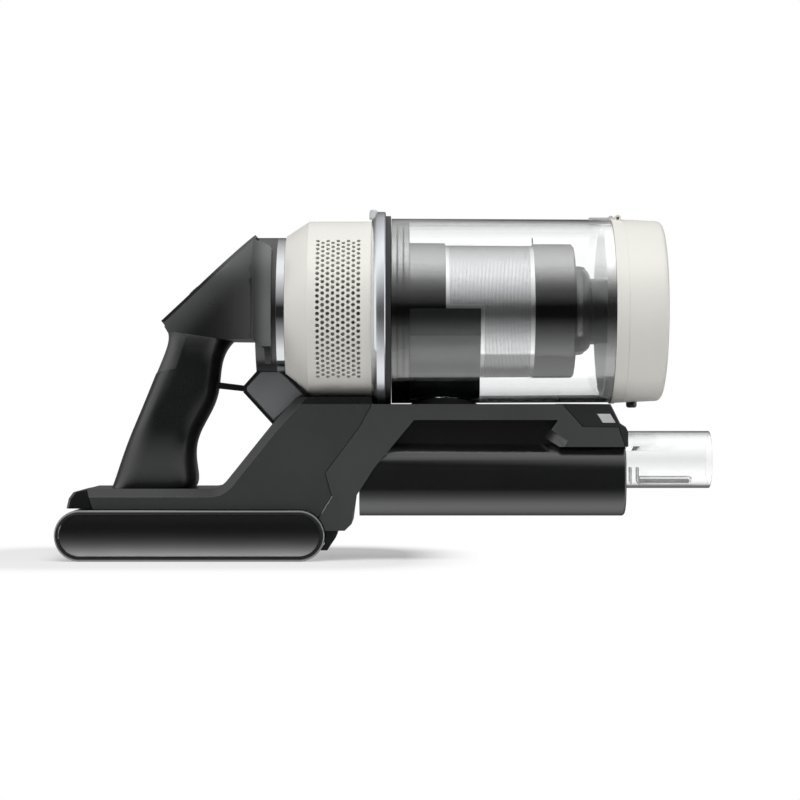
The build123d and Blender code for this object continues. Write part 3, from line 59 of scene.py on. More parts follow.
print("frame loaded:", len(nodes), "nodes")


# A socket that takes part in Python maths
class Wire:
    def __init__(self, tree, socket):
        self.tree = tree
        self.socket = socket

    def maths(self, operation, first, second=None):
        made = self.tree.nodes.new("ShaderNodeMath")
        made.operation = operation
        plug(self.tree, made.inputs[0], first)
        if second is not None:
            plug(self.tree, made.inputs[1], second)
        return Wire(self.tree, made.outputs[0])

    def __add__(self, other):
        return self.maths("ADD", self, other)

    def __radd__(self, other):
        return self.maths("ADD", other, self)

    def __sub__(self, other):
        return self.maths("SUBTRACT", self, other)

    def __rsub__(self, other):
        return self.maths("SUBTRACT", other, self)

    def __mul__(self, other):
        return self.maths("MULTIPLY", self, other)

    def __rmul__(self, other):
        return self.maths("MULTIPLY", other, self)

    def __truediv__(self, other):
        return self.maths("DIVIDE", self, other)

    def __pow__(self, other):
        return self.maths("POWER", self, other)

    def above(self, edge):
        return self.maths("GREATER_THAN", self, edge)

    def below(self, edge):
        return self.maths("LESS_THAN", self, edge)

    def size(self):
        return self.maths("ABSOLUTE", self)

    def floor(self):
        return self.maths("FLOOR", self)

    def atLeast(self, other):
        return self.maths("MAXIMUM", self, other)

    def angleFrom(self, other):
        return self.maths("ARCTAN2", self, other)


def plug(tree, socket, value):
    if isinstance(value, Wire):
        tree.links.new(value.socket, socket)
    elif isinstance(value, (tuple, list)) and len(value) == 3 and socket.type == "RGBA":
        socket.default_value = (*value, 1)
    else:
        socket.default_value = value


# One node tree, for a finish, the studio or a repeated shape
class Workbench:
    def __init__(self, tree):
        self.tree = tree

    def node(self, kind, settings=None, sockets=None, out=0):
        made = self.tree.nodes.new(kind)
        for key, value in (settings or {}).items():
            if key == "stops":
                ramp = made.color_ramp.elements
                while len(ramp) < len(value):
                    ramp.new(1.0)
                for element, (place, colour) in zip(ramp, value):
                    element.position = place
                    element.color = (*colour, 1)
            else:
                setattr(made, key, value)
        for key, value in (sockets or {}).items():
            plug(self.tree, made.inputs[key], value)
        return Wire(self.tree, made.outputs[out])

    def split(self, vector):
        parted = self.tree.nodes.new("ShaderNodeSeparateXYZ")
        plug(self.tree, parted.inputs[0], vector)
        return [Wire(self.tree, socket) for socket in parted.outputs]

    def mixColour(self, factor, first, second):
        return self.node("ShaderNodeMix", {"data_type": "RGBA"}, {0: factor, 6: first, 7: second}, 2)

    def ramp(self, value, low, high):
        limits = {"From Min": low, "From Max": high, "Value": value}
        return self.node("ShaderNodeMapRange", {"interpolation_type": "SMOOTHSTEP"}, limits)

    def lightPath(self, ray):
        return self.node("ShaderNodeLightPath", out=ray)


socketNames = {
    "colour": "Base Color",
    "roughness": "Roughness",
    "metallic": "Metallic",
    "normal": "Normal",
    "coat": "Coat Weight",
    "coatRoughness": "Coat Roughness",
    "transmission": "Transmission Weight",
    "ior": "IOR",
    "specular": "Specular IOR Level",
    "sheen": "Sheen Weight",
    "glow": "Emission Color",
    "glowStrength": "Emission Strength",
}


class Finish(Workbench):
    def __init__(self, name):
        self.material = bpy.data.materials.new(name)
        self.material.use_nodes = True
        super().__init__(self.material.node_tree)
        self.tree.nodes.clear()
        self.output = self.tree.nodes.new("ShaderNodeOutputMaterial")
        self.coords = self.node("ShaderNodeTexCoord", out="Object")
        self.shader = self.tree.nodes.new("ShaderNodeBsdfPrincipled")
        self.tree.links.new(self.shader.outputs[0], self.output.inputs[0])

    def xyz(self):
        return self.split(self.coords)

    def noise(self, scale, detail=2.0, roughness=0.5, stretch=None):
        vector = self.coords
        if stretch:
            vector = self.node("ShaderNodeMapping", {}, {"Vector": self.coords, "Scale": stretch})
        wanted = {"Vector": vector, "Scale": scale, "Detail": detail, "Roughness": roughness}
        return self.node("ShaderNodeTexNoise", {}, wanted, "Fac")

    def bump(self, height, distance):
        return self.node("ShaderNodeBump", {}, {"Height": height, "Distance": distance}, "Normal")

    def paint(self, **sockets):
        for key, value in sockets.items():
            plug(self.tree, self.shader.inputs[socketNames[key]], value)
        return self.material


# Moulded plastic: spark-eroded grain, faint flow marks, and polish where hands go
def mouldedPlastic(name, colour, roughness, grain=0.02, grainScale=2600, mottle=0.06, **shine):
    finish = Finish(name)
    spark = finish.noise(grainScale, 3.0, 0.6)
    flow = finish.noise(22, 4.0, 0.55)
    handling = finish.noise(60, 3.0, 0.6)
    light = tuple(min(1.0, channel * (1 + mottle)) for channel in colour)
    dark = tuple(channel * (1 - mottle) for channel in colour)
    shade = finish.mixColour(finish.ramp(flow, 0.3, 0.7), dark, light)
    rough = roughness * (1 + (handling - 0.5) * 0.25 + (spark - 0.5) * 0.12)
    return finish.paint(colour=shade, roughness=rough, normal=finish.bump(spark, grain * mm), **shine)


def brushedMetal(name, colour, roughness, stretch=(1, 1, 1), scale=900):
    finish = Finish(name)
    lines = finish.noise(scale, 4.0, 0.7, stretch)
    cloud = finish.noise(35, 3.0)
    dark = tuple(channel * 0.82 for channel in colour)
    shade = finish.mixColour(lines, dark, colour)
    rough = roughness + (lines - 0.5) * 0.18 + (cloud - 0.5) * 0.08
    return finish.paint(colour=shade, roughness=rough, metallic=1.0, normal=finish.bump(lines, 0.008 * mm))


# Plated and metal-painted plastic: mirror clean, with the faint swirl of polishing
def platedPlastic(name, colour, roughness, metallic=1.0, swirlDepth=0.002, **shine):
    finish = Finish(name)
    cloud = finish.noise(40, 3.0)
    swirl = finish.noise(1600, 2.0, 0.5, (1, 0.1, 0.1))
    light = tuple(channel * 1.06 for channel in colour)
    dark = tuple(channel * 0.94 for channel in colour)
    shade = finish.mixColour(cloud, dark, light)
    rough = roughness * (0.8 + cloud * 0.3 + swirl * 0.1)
    normal = finish.bump(swirl, swirlDepth * mm)
    return finish.paint(colour=shade, roughness=rough, metallic=metallic, normal=normal, **shine)


# Clear plastic: the wall darkens where it is seen edge on, a painted shade in its colour
def clearPlastic(name, tint, paintedEdgeShade, roughness=0.012, ior=1.49):
    finish = Finish(name)
    edge = finish.node("ShaderNodeLayerWeight", {}, {"Blend": 0.5}, "Facing") ** 3.5
    shade = finish.mixColour(edge, tint, paintedEdgeShade)
    smear = finish.noise(28, 3.0, 0.6)
    rough = roughness + finish.ramp(smear, 0.5, 0.8) * 0.015
    return finish.paint(colour=shade, roughness=rough, transmission=1.0, ior=ior)


# Turned piece in smoked coating, its colour a painted reflection: light towards its top, dark at its middle,
# greyer underneath.
# Its glow share is a painted glow, standing in for light that the clear wall in front lets in.
def paintedReflectionCoat(name, paintedTones, roughness, paintedGlow=0.0):
    finish = Finish(name)
    x, y, z = finish.xyz()
    height = (z - binAxisZ) / mm
    cloud = finish.noise(40, 3.0)
    light, dark, low = [(paintedTones[key],) * 3 for key in ("light", "dark", "low")]
    under = finish.mixColour(finish.ramp(height * -1, *paintedTones["lower"]), dark, low)
    shade = finish.mixColour(finish.ramp(height, *paintedTones["upper"]), under, light)
    return finish.paint(
        colour=shade,
        roughness=roughness * (0.8 + cloud * 0.4),
        metallic=1.0,
        normal=finish.bump(finish.noise(1600), 0.002 * mm),
        glow=shade,
        glowStrength=paintedGlow,
    )


# Plated ring: bright band beside the cover, painted black behind it where it enters the head, a painted
# shadow of the gap there
ringBand = {"rear": -66.0 * mm, "front": -61.2 * mm, "soft": 0.15 * mm}


def ringFinish():
    finish = Finish("rearRing")
    x, y, z = finish.xyz()
    rise = finish.ramp(x, ringBand["rear"] - ringBand["soft"], ringBand["rear"] + ringBand["soft"])
    fall = finish.ramp(x, ringBand["front"] - ringBand["soft"], ringBand["front"] + ringBand["soft"])
    bright = rise * (1 - fall)
    cloud = finish.noise(40, 3.0)
    return finish.paint(
        colour=finish.mixColour(bright, (0.012, 0.012, 0.013), (0.37, 0.375, 0.385)),
        roughness=0.05 + (1 - bright) * 0.2 + (cloud - 0.5) * 0.02,
        metallic=bright,
    )


def softRubber(name, colour, roughness=0.62, grainScale=1800, grain=0.04):
    finish = Finish(name)
    pores = finish.noise(grainScale, 3.0, 0.65)
    bloom = finish.noise(45, 4.0, 0.6)
    pale = tuple(channel * 1.7 + 0.003 for channel in colour)
    shade = finish.mixColour(finish.ramp(bloom, 0.45, 0.8) * 0.6, colour, pale)
    rough = roughness + (pores - 0.5) * 0.2
    return finish.paint(colour=shade, roughness=rough, normal=finish.bump(pores, grain * mm), sheen=0.05)


def frostedTab():
    finish = Finish("frostedTab")
    grain = finish.noise(2200, 3.0)
    return finish.paint(
        colour=finish.mixColour(grain, (0.78, 0.79, 0.80), (0.9, 0.91, 0.92)),
        roughness=0.35 + grain * 0.2,
        transmission=0.6,
        ior=1.46,
        normal=finish.bump(grain, 0.03 * mm),
    )


def filterPaper():
    finish = Finish("filterPaper")
    fibres = finish.noise(1500, 5.0, 0.75)
    dirt = finish.noise(70, 3.0)
    clean = finish.mixColour(fibres, (0.74, 0.73, 0.69), (0.88, 0.87, 0.83))
    shade = finish.mixColour(finish.ramp(dirt, 0.55, 0.8) * 0.3, clean, (0.5, 0.48, 0.43))
    rough = 0.9 + (fibres - 0.5) * 0.1
    return finish.paint(colour=shade, roughness=rough, normal=finish.bump(fibres, 0.12 * mm))


def circuitBoard():
    finish = Finish("circuitBoard")
    wanted = {"Vector": finish.coords, "Scale": 210}
    cells = finish.node("ShaderNodeTexVoronoi", {"distance": "CHEBYCHEV"}, wanted, "Distance")
    tracks = finish.ramp(cells, 0.42, 0.46)
    grain = finish.noise(1800, 2.0)
    shade = finish.mixColour(tracks, (0.02, 0.10, 0.045), (0.035, 0.17, 0.075))
    rough = 0.4 + grain * 0.1
    return finish.paint(colour=shade, roughness=rough, normal=finish.bump(tracks, 0.04 * mm), coat=0.3)


# Painted highlights on the head: the strip beside the ring is painted lighter towards the ring, the cheek
# lighter near the edge under the control panel
headShade = {
    "low": 130.0 * mm,
    "stripRear": -80.4 * mm,
    "stripFront": -70.0 * mm,
    "strip": ((0.03, 0.031, 0.031), (0.15, 0.155, 0.155)),
    "cheekEdge": -283.6 * mm,  # x - z along the edge under the control panel
    "cheekReach": 34.0 * mm,
    "cheek": ((0.085, 0.088, 0.088), (0.004, 0.004, 0.004)),
}


# The casing: satin on its flat sides and beside the ring, darker and glossier elsewhere; its head carries
# the painted highlights of headShade
def casingPlastic(name, flatY, satin, gloss, satinRoughness, glossRoughness, specular):
    finish = Finish(name)
    x, y, z = finish.xyz()
    side = finish.ramp(y.size(), (flatY - 0.5) * mm, (flatY - 0.1) * mm) * z.below(saddleTopZ)
    strip = x.above(headShade["stripRear"])
    head = z.above(headShade["low"])
    flat = side.atLeast(strip * head)
    alongStrip = finish.ramp(x, headShade["stripRear"], headShade["stripFront"])
    stripShade = finish.mixColour(alongStrip, *headShade["strip"])
    away = x - z - headShade["cheekEdge"]
    cheekShade = finish.mixColour(finish.ramp(away, 0.0, headShade["cheekReach"]), *headShade["cheek"])
    spark = finish.noise(2600, 3.0, 0.6)
    flow = finish.noise(22, 4.0, 0.55)
    handling = finish.noise(60, 3.0, 0.6)
    shade = finish.mixColour(side, gloss, satin)
    shade = finish.mixColour(head, shade, finish.mixColour(strip, cheekShade, stripShade))
    shade = finish.mixColour(finish.ramp(flow, 0.3, 0.7) * 0.15, shade, (0, 0, 0))
    rough = (glossRoughness + flat * (satinRoughness - glossRoughness)) * (1 + (handling - 0.5) * 0.25)
    normal = finish.bump(spark * (0.3 + flat * 0.7), 0.015 * mm)
    return finish.paint(colour=shade, roughness=rough, normal=normal, specular=specular)


# Etched steel drum: fine holes in staggered rows, with a plain bright margin at each edge
meshDrum = {
    "pitch": 0.95 * mm,
    "hole": 0.33,  # hole radius as a share of the pitch
    "margin": 2.3 * mm,
    "scoopFront": 57.5 * mm,
    "paintedUnderGlow": (0.25, 0.25, 0.25),  # painted glow on the drum's underside, standing in for light that reaches it through the clear wall
    "underRange": (-37, -32, -28, -24),
}


def steelMesh():
    finish = Finish("steelMesh")
    low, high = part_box("mesh_shroud")
    x, y, z = finish.xyz()
    around = (z - binAxisZ).angleFrom(y) * high[1]
    row = x / (meshDrum["pitch"] * 0.866)
    shift = row.floor().maths("MODULO", row.floor(), 2.0) * 0.5
    column = around / meshDrum["pitch"] + shift
    u = column - column.floor() - 0.5
    v = (row - row.floor() - 0.5) * 0.866
    reach = (u * u + v * v) ** 0.5
    solid = finish.ramp(reach, meshDrum["hole"] - 0.06, meshDrum["hole"] + 0.06)
    ends = x.below(low[0] + meshDrum["margin"]).atLeast(x.above(high[0] - meshDrum["margin"]))
    behindFront = x.below(meshDrum["scoopFront"] + meshDrum["margin"])
    besideScoop = behindFront * z.below(binAxisZ + meshDrum["margin"])
    margin = ends.atLeast(besideScoop)
    solid = solid.atLeast(margin)
    cloud = finish.noise(50, 3.0)
    face = finish.mixColour(cloud, (0.56, 0.565, 0.57), (0.61, 0.615, 0.62))
    edged = finish.mixColour(margin, face, (0.80, 0.80, 0.80))
    # The holes are painted dark dots: painted shade standing in for the dark inside each hole
    shade = finish.mixColour(solid, (0.08, 0.08, 0.08), edged)
    rough = 0.13 + (1 - solid) * 0.3
    metallic = 0.98 - margin * 0.4
    # Painted glow: emission lights the solid drum on its underside
    height = (z - binAxisZ) / mm
    fadeIn, full, fadeOut, gone = meshDrum["underRange"]
    under = finish.ramp(height, fadeIn, full) * (1 - finish.ramp(height, fadeOut, gone)) * solid
    finish.paint(glow=finish.mixColour(under, (0, 0, 0), meshDrum["paintedUnderGlow"]), glowStrength=1.0)
    normal = finish.bump(solid, 0.03 * mm)
    return finish.paint(colour=shade, roughness=rough, metallic=metallic, normal=normal)


# Battery face: gloss black with a painted reflection that fades to grey towards its lower edge
batteryPaintedReflection = {
    "bottom": 3.0 * mm,
    "top": 28.2 * mm,
    "grey": (0.55, 0.55, 0.55),
    "black": (0.005, 0.005, 0.005),
    "fall": 5.0,
}


def batteryPanelFinish():
    finish = Finish("batteryPanel")
    x, y, z = finish.xyz()
    height = (z - batteryPaintedReflection["bottom"]) / (batteryPaintedReflection["top"] - batteryPaintedReflection["bottom"])
    cloud = finish.noise(30, 3.0)
    fade = (1 - height + (cloud - 0.5) * 0.04).atLeast(0.0) ** batteryPaintedReflection["fall"]
    shade = finish.mixColour(fade, batteryPaintedReflection["black"], batteryPaintedReflection["grey"])
    rough = 0.22 + (cloud - 0.5) * 0.06
    return finish.paint(colour=shade, roughness=rough, normal=finish.bump(finish.noise(2400), 0.004 * mm))


# The inlet scoop is dark, with a paler band low on its side that is a painted reflection
scoopReflectionBand = {"low": 112.0 * mm, "high": 136.5 * mm, "soft": 0.8 * mm}


def scoopFinish():
    finish = Finish("scoopPlastic")
    x, y, z = finish.xyz()
    rise = finish.ramp(z, scoopReflectionBand["low"] - scoopReflectionBand["soft"], scoopReflectionBand["low"] + scoopReflectionBand["soft"])
    fall = finish.ramp(z, scoopReflectionBand["high"] - scoopReflectionBand["soft"], scoopReflectionBand["high"] + scoopReflectionBand["soft"])
    panel = rise * (1 - fall)
    cloud = finish.noise(45, 3.0)
    plain = finish.mixColour(cloud, (0.022, 0.024, 0.024), (0.028, 0.030, 0.030))
    paintedReflection = finish.mixColour(cloud, (0.13, 0.135, 0.138), (0.16, 0.165, 0.168))
    return finish.paint(
        colour=finish.mixColour(panel, plain, paintedReflection),
        roughness=0.3 + (cloud - 0.5) * 0.1,
        normal=finish.bump(finish.noise(2600, 3.0), 0.01 * mm),
    )


print("finishes")
satinGrey = (0.042, 0.045, 0.045)
charcoal = casingPlastic("charcoalShell", 34.0, satinGrey, (0.010, 0.0105, 0.0105), 0.42, 0.28, 0.35)
ductCharcoal = casingPlastic("charcoalDuct", 35.0, satinGrey, (0.0065, 0.007, 0.007), 0.42, 0.24, 0.7)
hoodCharcoal = mouldedPlastic("charcoalHood", (0.020, 0.0215, 0.022), 0.36, 0.01, mottle=0.08)
gunmetal = mouldedPlastic("gunmetalBracket", (0.145, 0.153, 0.157), 0.40, 0.02, mottle=0.05)
ivory = mouldedPlastic("ivoryShell", (0.79, 0.775, 0.725), 0.38, 0.012, mottle=0.012)
silver = platedPlastic("silverPaint", (0.42, 0.435, 0.455), 0.24, 0.85)
buttonSilver = mouldedPlastic("blastedSilver", (0.72, 0.72, 0.72), 0.42, 0.05, 3200, 0.1, metallic=0.4)
chrome = ringFinish()
# Painted reflection tones for the cyclone and the seal; the seal also gets a painted glow share
cyclonePaintedReflection = {"light": 0.27, "dark": 0.008, "low": 0.04, "upper": (10, 34), "lower": (0, 18)}
cycloneMetal = paintedReflectionCoat("cycloneGunmetal", cyclonePaintedReflection, 0.13)
sealPaintedReflection = {"light": 0.38, "dark": 0.008, "low": 0.075, "upper": (6, 36), "lower": (4, 34)}
sealSleeve = paintedReflectionCoat("sealSleeve", sealPaintedReflection, 0.2, 1.6)
blackPlastic = mouldedPlastic("blackPlastic", (0.012, 0.012, 0.013), 0.34, mottle=0.15)
smokedPlastic = mouldedPlastic("smokedPlastic", (0.09, 0.092, 0.095), 0.12, 0.004, mottle=0.1, specular=1.0)
blackGloss = mouldedPlastic("blackGloss", (0.008, 0.008, 0.009), 0.10, 0.003, mottle=0.2, coat=0.6)
panelBlack = mouldedPlastic("panelBlack", (0.009, 0.009, 0.0095), 0.3, 0.01, mottle=0.15)
motorPlastic = mouldedPlastic("glassFilledPlastic", (0.05, 0.05, 0.053), 0.5, 0.04, mottle=0.15)
lacquer = {"specular": 1.0, "coat": 1.0}
batteryBlack = mouldedPlastic("batteryBlack", (0.018, 0.019, 0.020), 0.20, 0.004, mottle=0.1, **lacquer)
rubber = softRubber("sealRubber", (0.010, 0.010, 0.010))
padRubber = softRubber("padRubber", (0.020, 0.021, 0.021), 0.45, 1300, 0.03)
steel = brushedMetal("plainSteel", (0.56, 0.56, 0.57), 0.3)
alloy = brushedMetal("turnedAlloy", (0.72, 0.72, 0.73), 0.34, (6, 1, 1))
brass = brushedMetal("platedBrass", (0.78, 0.60, 0.30), 0.28)
darkSteel = brushedMetal("darkSteel", (0.12, 0.12, 0.125), 0.3)
clearBin = clearPlastic("clearBin", (0.975, 0.98, 0.98), (0.22, 0.225, 0.23))
clearSpigot = clearPlastic("clearSpigot", (0.95, 0.953, 0.955), (0.06, 0.062, 0.064))
clearRail = clearPlastic("clearRail", (0.97, 0.972, 0.974), (0.4, 0.41, 0.42), 0.05)
markInk = mouldedPlastic("markInk", (0.62, 0.62, 0.62), 0.5, 0.01, mottle=0.05)
tickInk = mouldedPlastic("tickInk", (0.03, 0.03, 0.03), 0.6, 0.01, mottle=0.05)
lit = {"glow": (0.5, 0.75, 0.85), "glowStrength": 0.5}
displayLight = mouldedPlastic("displayLight", (0.25, 0.30, 0.32), 0.3, 0.004, **lit)
frosted = frostedTab()
paper = filterPaper()
board = circuitBoard()
mesh = steelMesh()
batteryPanel = batteryPanelFinish()
scoopPlastic = scoopFinish()

# What each CAD node is made of
wardrobe = {
    charcoal: ["rear_shell_left", "rear_shell_right", "battery_latch"],
    panelBlack: ["control_panel"],
    ductCharcoal: ["duct_housing"],
    hoodCharcoal: ["front_hood", "battery_socket"],
    gunmetal: ["neck_bracket"],
    ivory: ["motor_cover", "bin_lid"],
    silver: ["front_collar"],
    buttonSilver: ["release_button_left", "release_button_right"],
    chrome: ["rear_ring"],
    clearBin: ["bin_tube"],
    clearSpigot: ["intake_pipe"],
    clearRail: ["contact_rail"],
    frosted: ["collar_latch", "lid_hinge_bracket"],
    cycloneMetal: ["cyclone_body", "cyclone_base", "cyclone_skirt"],
    sealSleeve: ["lid_gasket", "lid_liner"],
    smokedPlastic: ["dust_cone"],
    scoopPlastic: ["inlet_scoop"],
    blackPlastic: ["lid_release", "lid_stay", "inlet_elbow", "cyclone_cones"],
    blackGloss: ["display_window", "power_button", "minus_button", "plus_button"],
    batteryBlack: ["battery_case"],
    batteryPanel: ["battery_side_panels"],
    mesh: ["mesh_shroud"],
    steel: ["lid_hinge_pin", "lid_spring", "shell_screws", "bearings", "rotor_shaft", "stator"],
    rubber: ["collar_seal", "inlet_gasket", "motor_mount"],
    padRubber: ["grip_pad"],
    paper: ["prefilter", "exhaust_filter"],
    motorPlastic: ["motor_can", "motor_bulkhead", "bearing_bridge"],
    alloy: ["impeller", "battery_cells"],
    board: ["main_board", "display_board", "battery_board"],
    brass: ["battery_contacts", "socket_blades"],
    darkSteel: ["contact_pins"],
}
finishOf = {name: finish for finish, names in wardrobe.items() for name in names}
for name, node in nodes.items():
    node.data.materials.clear()
    node.data.materials.append(finishOf[name])

bodyOf = {name: body for body, names in frame["record"]["behaviour"]["bodies"].items() for name in names}


# A new piece goes with a CAD node: same body
def seat(piece, nodeName, standsFor=False):
    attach(piece, bodyOf[nodeName])
    if standsFor:
        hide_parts(nodeName)
    return piece


def show(name, mesh, finish):
    piece = bpy.data.objects.new(name, mesh)
    bpy.context.scene.collection.objects.link(piece)
    piece.data.materials.clear()
    piece.data.materials.append(finish)
    return piece


def plainMesh(piece):
    graph = bpy.context.evaluated_depsgraph_get()
    shaped = piece.evaluated_get(graph)
    made = bpy.data.meshes.new_from_object(shaped, preserve_all_data_layers=True, depsgraph=graph)
    piece.modifiers.clear()
    piece.data = made
    return piece


def meshFrom(work, name, sharpAngle=30):
    made = bpy.data.meshes.new(name)
    work.to_mesh(made)
    work.free()
    made.shade_smooth()
    made.set_sharp_from_angle(angle=radians(sharpAngle))
    return made


# One screw boss ends just proud of the near shell's tapered cheek; its end is taken level with it
cheekBoss = {"x": -97.0 * mm, "z": 155.0 * mm, "radius": 6.0 * mm, "inside": 32.5 * mm}


def levelBosses(work):
    ends = []
    for face in work.faces:
        middle = face.calc_center_median()
        across = ((middle.x - cheekBoss["x"]) ** 2 + (middle.z - cheekBoss["z"]) ** 2) ** 0.5
        facing = abs(face.normal.y)
        if across < cheekBoss["radius"] and abs(middle.y) > cheekBoss["inside"] and not 0.2 < facing < 0.995:
            ends.append(face)
    bmesh.ops.delete(work, geom=ends, context="FACES")
    rims = [edge for edge in work.edges if edge.is_boundary]
    bmesh.ops.holes_fill(work, edges=rims, sides=0)
    print("boss ends levelled:", len(ends))


# A welded, edge-broken copy of a CAD node stands for it, so that light runs round its edges
def reskin(nodeName, edge=0.0, sharpAngle=26):
    work = bmesh.new()
    work.from_mesh(nodes[nodeName].data)
    bmesh.ops.remove_doubles(work, verts=work.verts, dist=0.002 * mm)
    if nodeName == "rear_shell_right":
        levelBosses(work)
    bmesh.ops.dissolve_limit(work, angle_limit=radians(0.4), verts=work.verts, edges=work.edges)
    piece = show(nodeName + "_skin", meshFrom(work, nodeName, sharpAngle), finishOf[nodeName])
    if edge:
        bevel = piece.modifiers.new("edges", "BEVEL")
        bevel.width = edge * mm
        bevel.segments = 2
        bevel.limit_method = "ANGLE"
        bevel.angle_limit = radians(sharpAngle)
        bevel.harden_normals = True
        bevel.use_clamp_overlap = True
        plainMesh(piece)
    return seat(piece, nodeName, standsFor=True)


# Edge breaks in millimetres; turned pieces keep their own edges
skinEdges = {
    "rear_shell_left": 0.4,
    "rear_shell_right": 0.4,
    "neck_bracket": 0.3,
    "duct_housing": 0.4,
    "front_hood": 0.4,
    "battery_side_panels": 0.25,
    "battery_latch": 0.4,
    "battery_socket": 0.3,
    "control_panel": 0.3,
    "grip_pad": 0.2,
}
for name, edge in skinEdges.items():
    reskin(name, edge)
turnedSkins = ["bin_tube", "bin_lid", "motor_cover", "front_collar", "rear_ring", "collar_seal"]
turnedSkins += ["cyclone_body", "mesh_shroud", "cyclone_skirt", "dust_cone", "inlet_scoop"]
turnedSkins += ["lid_gasket", "lid_liner", "intake_pipe"]
turnedSkins += ["battery_case", "release_button_left", "release_button_right", "contact_rail"]
for name in turnedSkins:
    reskin(name)
print("skins made:", len(skinEdges) + len(turnedSkins))


def makeSpring():
    spring = reskin("lid_spring")
    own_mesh(spring)


makeSpring()


# A turned piece from its (station, radius) points in millimetres, on an axis along X
def lathe(name, profile, finish, axisZ=binAxisZ, steps=192):
    work = bmesh.new()
    rings = []
    for station, radius in profile:
        ring = []
        for step in range(steps):
            turn = 2 * pi * step / steps
            place = (station * mm, radius * mm * cos(turn), axisZ + radius * mm * sin(turn))
            ring.append(work.verts.new(place))
        rings.append(ring)
    for near, far in zip(rings, rings[1:] + rings[:1]):
        for step in range(steps):
            after = (step + 1) % steps
            work.faces.new((near[step], near[after], far[after], far[step]))
    bmesh.ops.recalc_face_normals(work, faces=work.faces)
    return show(name, meshFrom(work, name), finish)


# Ribbed foot of the cyclone: three lands with rounded grooves between them
cycloneFoot = {"lands": 3, "groove": 1.1, "depth": 1.0, "bore": 40.1, "edge": 0.4}


def makeCycloneFoot():
    low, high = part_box("cyclone_base")
    rear = low[0] / mm
    front = high[0] / mm
    rim = high[1] / mm
    pitch = (front - rear) / cycloneFoot["lands"]
    half = cycloneFoot["groove"] / 2
    edge = cycloneFoot["edge"]
    profile = [(rear, cycloneFoot["bore"]), (rear, rim - edge), (rear + edge, rim)]
    for land in range(1, cycloneFoot["lands"]):
        middle = rear + land * pitch
        for share in (-1.0, -0.6, 0.0, 0.6, 1.0):
            profile.append((middle + share * half, rim - cycloneFoot["depth"] * (1 - share * share)))
    profile += [(front - edge, rim), (front, rim - edge), (front, cycloneFoot["bore"])]
    seat(lathe("cycloneFoot", profile, finishOf["cyclone_base"]), "cyclone_base", standsFor=True)


makeCycloneFoot()


# A repeated shape as a Geometry Nodes tree with named sizes
class Pattern(Workbench):
    def __init__(self, name, sizes):
        super().__init__(bpy.data.node_groups.new(name, "GeometryNodeTree"))
        self.name = name
        self.values = {}
        face = self.tree.interface
        face.new_socket("Geometry", in_out="INPUT", socket_type="NodeSocketGeometry")
        for label, value in sizes.items():
            kind = "NodeSocketInt" if isinstance(value, int) else "NodeSocketFloat"
            made = face.new_socket(label, in_out="INPUT", socket_type=kind)
            self.values[made.identifier] = value
        face.new_socket("Geometry", in_out="OUTPUT", socket_type="NodeSocketGeometry")
        self.start = self.tree.nodes.new("NodeGroupInput")

    def given(self, label):
        return Wire(self.tree, self.start.outputs[label])

    def vector(self, x, y, z):
        return self.node("ShaderNodeCombineXYZ", {}, {0: x, 1: y, 2: z})

    def moved(self, shape, place=(0, 0, 0), turn=(0, 0, 0)):
        wanted = {"Geometry": shape, "Translation": place, "Rotation": turn}
        return self.node("GeometryNodeTransform", {}, wanted)

    # One copy of the shape on each given point, as a plain mesh
    def grow(self, shape, points, finish):
        spots = {"Points": self.given("Geometry"), "Instance": shape}
        copies = self.node("GeometryNodeInstanceOnPoints", {}, spots)
        solid = self.node("GeometryNodeRealizeInstances", {}, {"Geometry": copies})
        dressed = self.node("GeometryNodeSetMaterial", {}, {"Geometry": solid, "Material": finish})
        end = self.tree.nodes.new("NodeGroupOutput")
        self.tree.links.new(dressed.socket, end.inputs[0])
        seeds = bpy.data.meshes.new(self.name)
        seeds.from_pydata(points, [], [])
        piece = show(self.name, seeds, finish)
        modifier = piece.modifiers.new("pattern", "NODES")
        modifier.node_group = self.tree
        for identifier, value in self.values.items():
            modifier[identifier] = value
        return plainMesh(piece)


# Star-socket screws in the far shell
shellScrews = {
    "spots": [
        (-165.0, 31.5, 35.2),
        (-108.0, 31.5, 35.2),
        (-62.0, 31.5, 62.0),
        (-32.0, 31.5, 78.0),
        (-97.0, 34.5, 155.0),
    ],
    "Head Radius": 2.9 * mm,
    "Head Height": 1.9 * mm,
    "Socket Radius": 1.55 * mm,
}


def makeScrews():
    spots = [Vector(spot) * mm for spot in shellScrews["spots"]]
    sizes = {key: value for key, value in shellScrews.items() if key != "spots"}
    quarterTurn = (radians(-90), 0, 0)
    heads = Pattern("screwHeads", sizes)
    height = heads.given("Head Height")
    radius = heads.given("Head Radius")
    cone = {"Vertices": 32, "Radius Top": radius * 0.86, "Radius Bottom": radius, "Depth": height}
    head = heads.node("GeometryNodeMeshCone", {}, cone)
    sunk = heads.moved(head, heads.vector(0, 0, height * -1))
    seat(heads.grow(heads.moved(sunk, turn=quarterTurn), spots, steel), "shell_screws", standsFor=True)
    # Each socket is a flat black star laid just above the head: painted shade standing in for the recess
    sockets = Pattern("screwSockets", sizes)
    reach = sockets.given("Socket Radius")
    star = {"Points": 6, "Inner Radius": reach * 0.66, "Outer Radius": reach, "Twist": 0.0}
    outline = sockets.node("GeometryNodeCurveStar", {}, star)
    flat = sockets.node("GeometryNodeFillCurve", {"mode": "NGONS"}, {"Curve": outline})
    lifted = sockets.moved(flat, (0, 0, 0.03 * mm))
    seat(sockets.grow(sockets.moved(lifted, turn=quarterTurn), spots, blackPlastic), "shell_screws")


makeScrews()

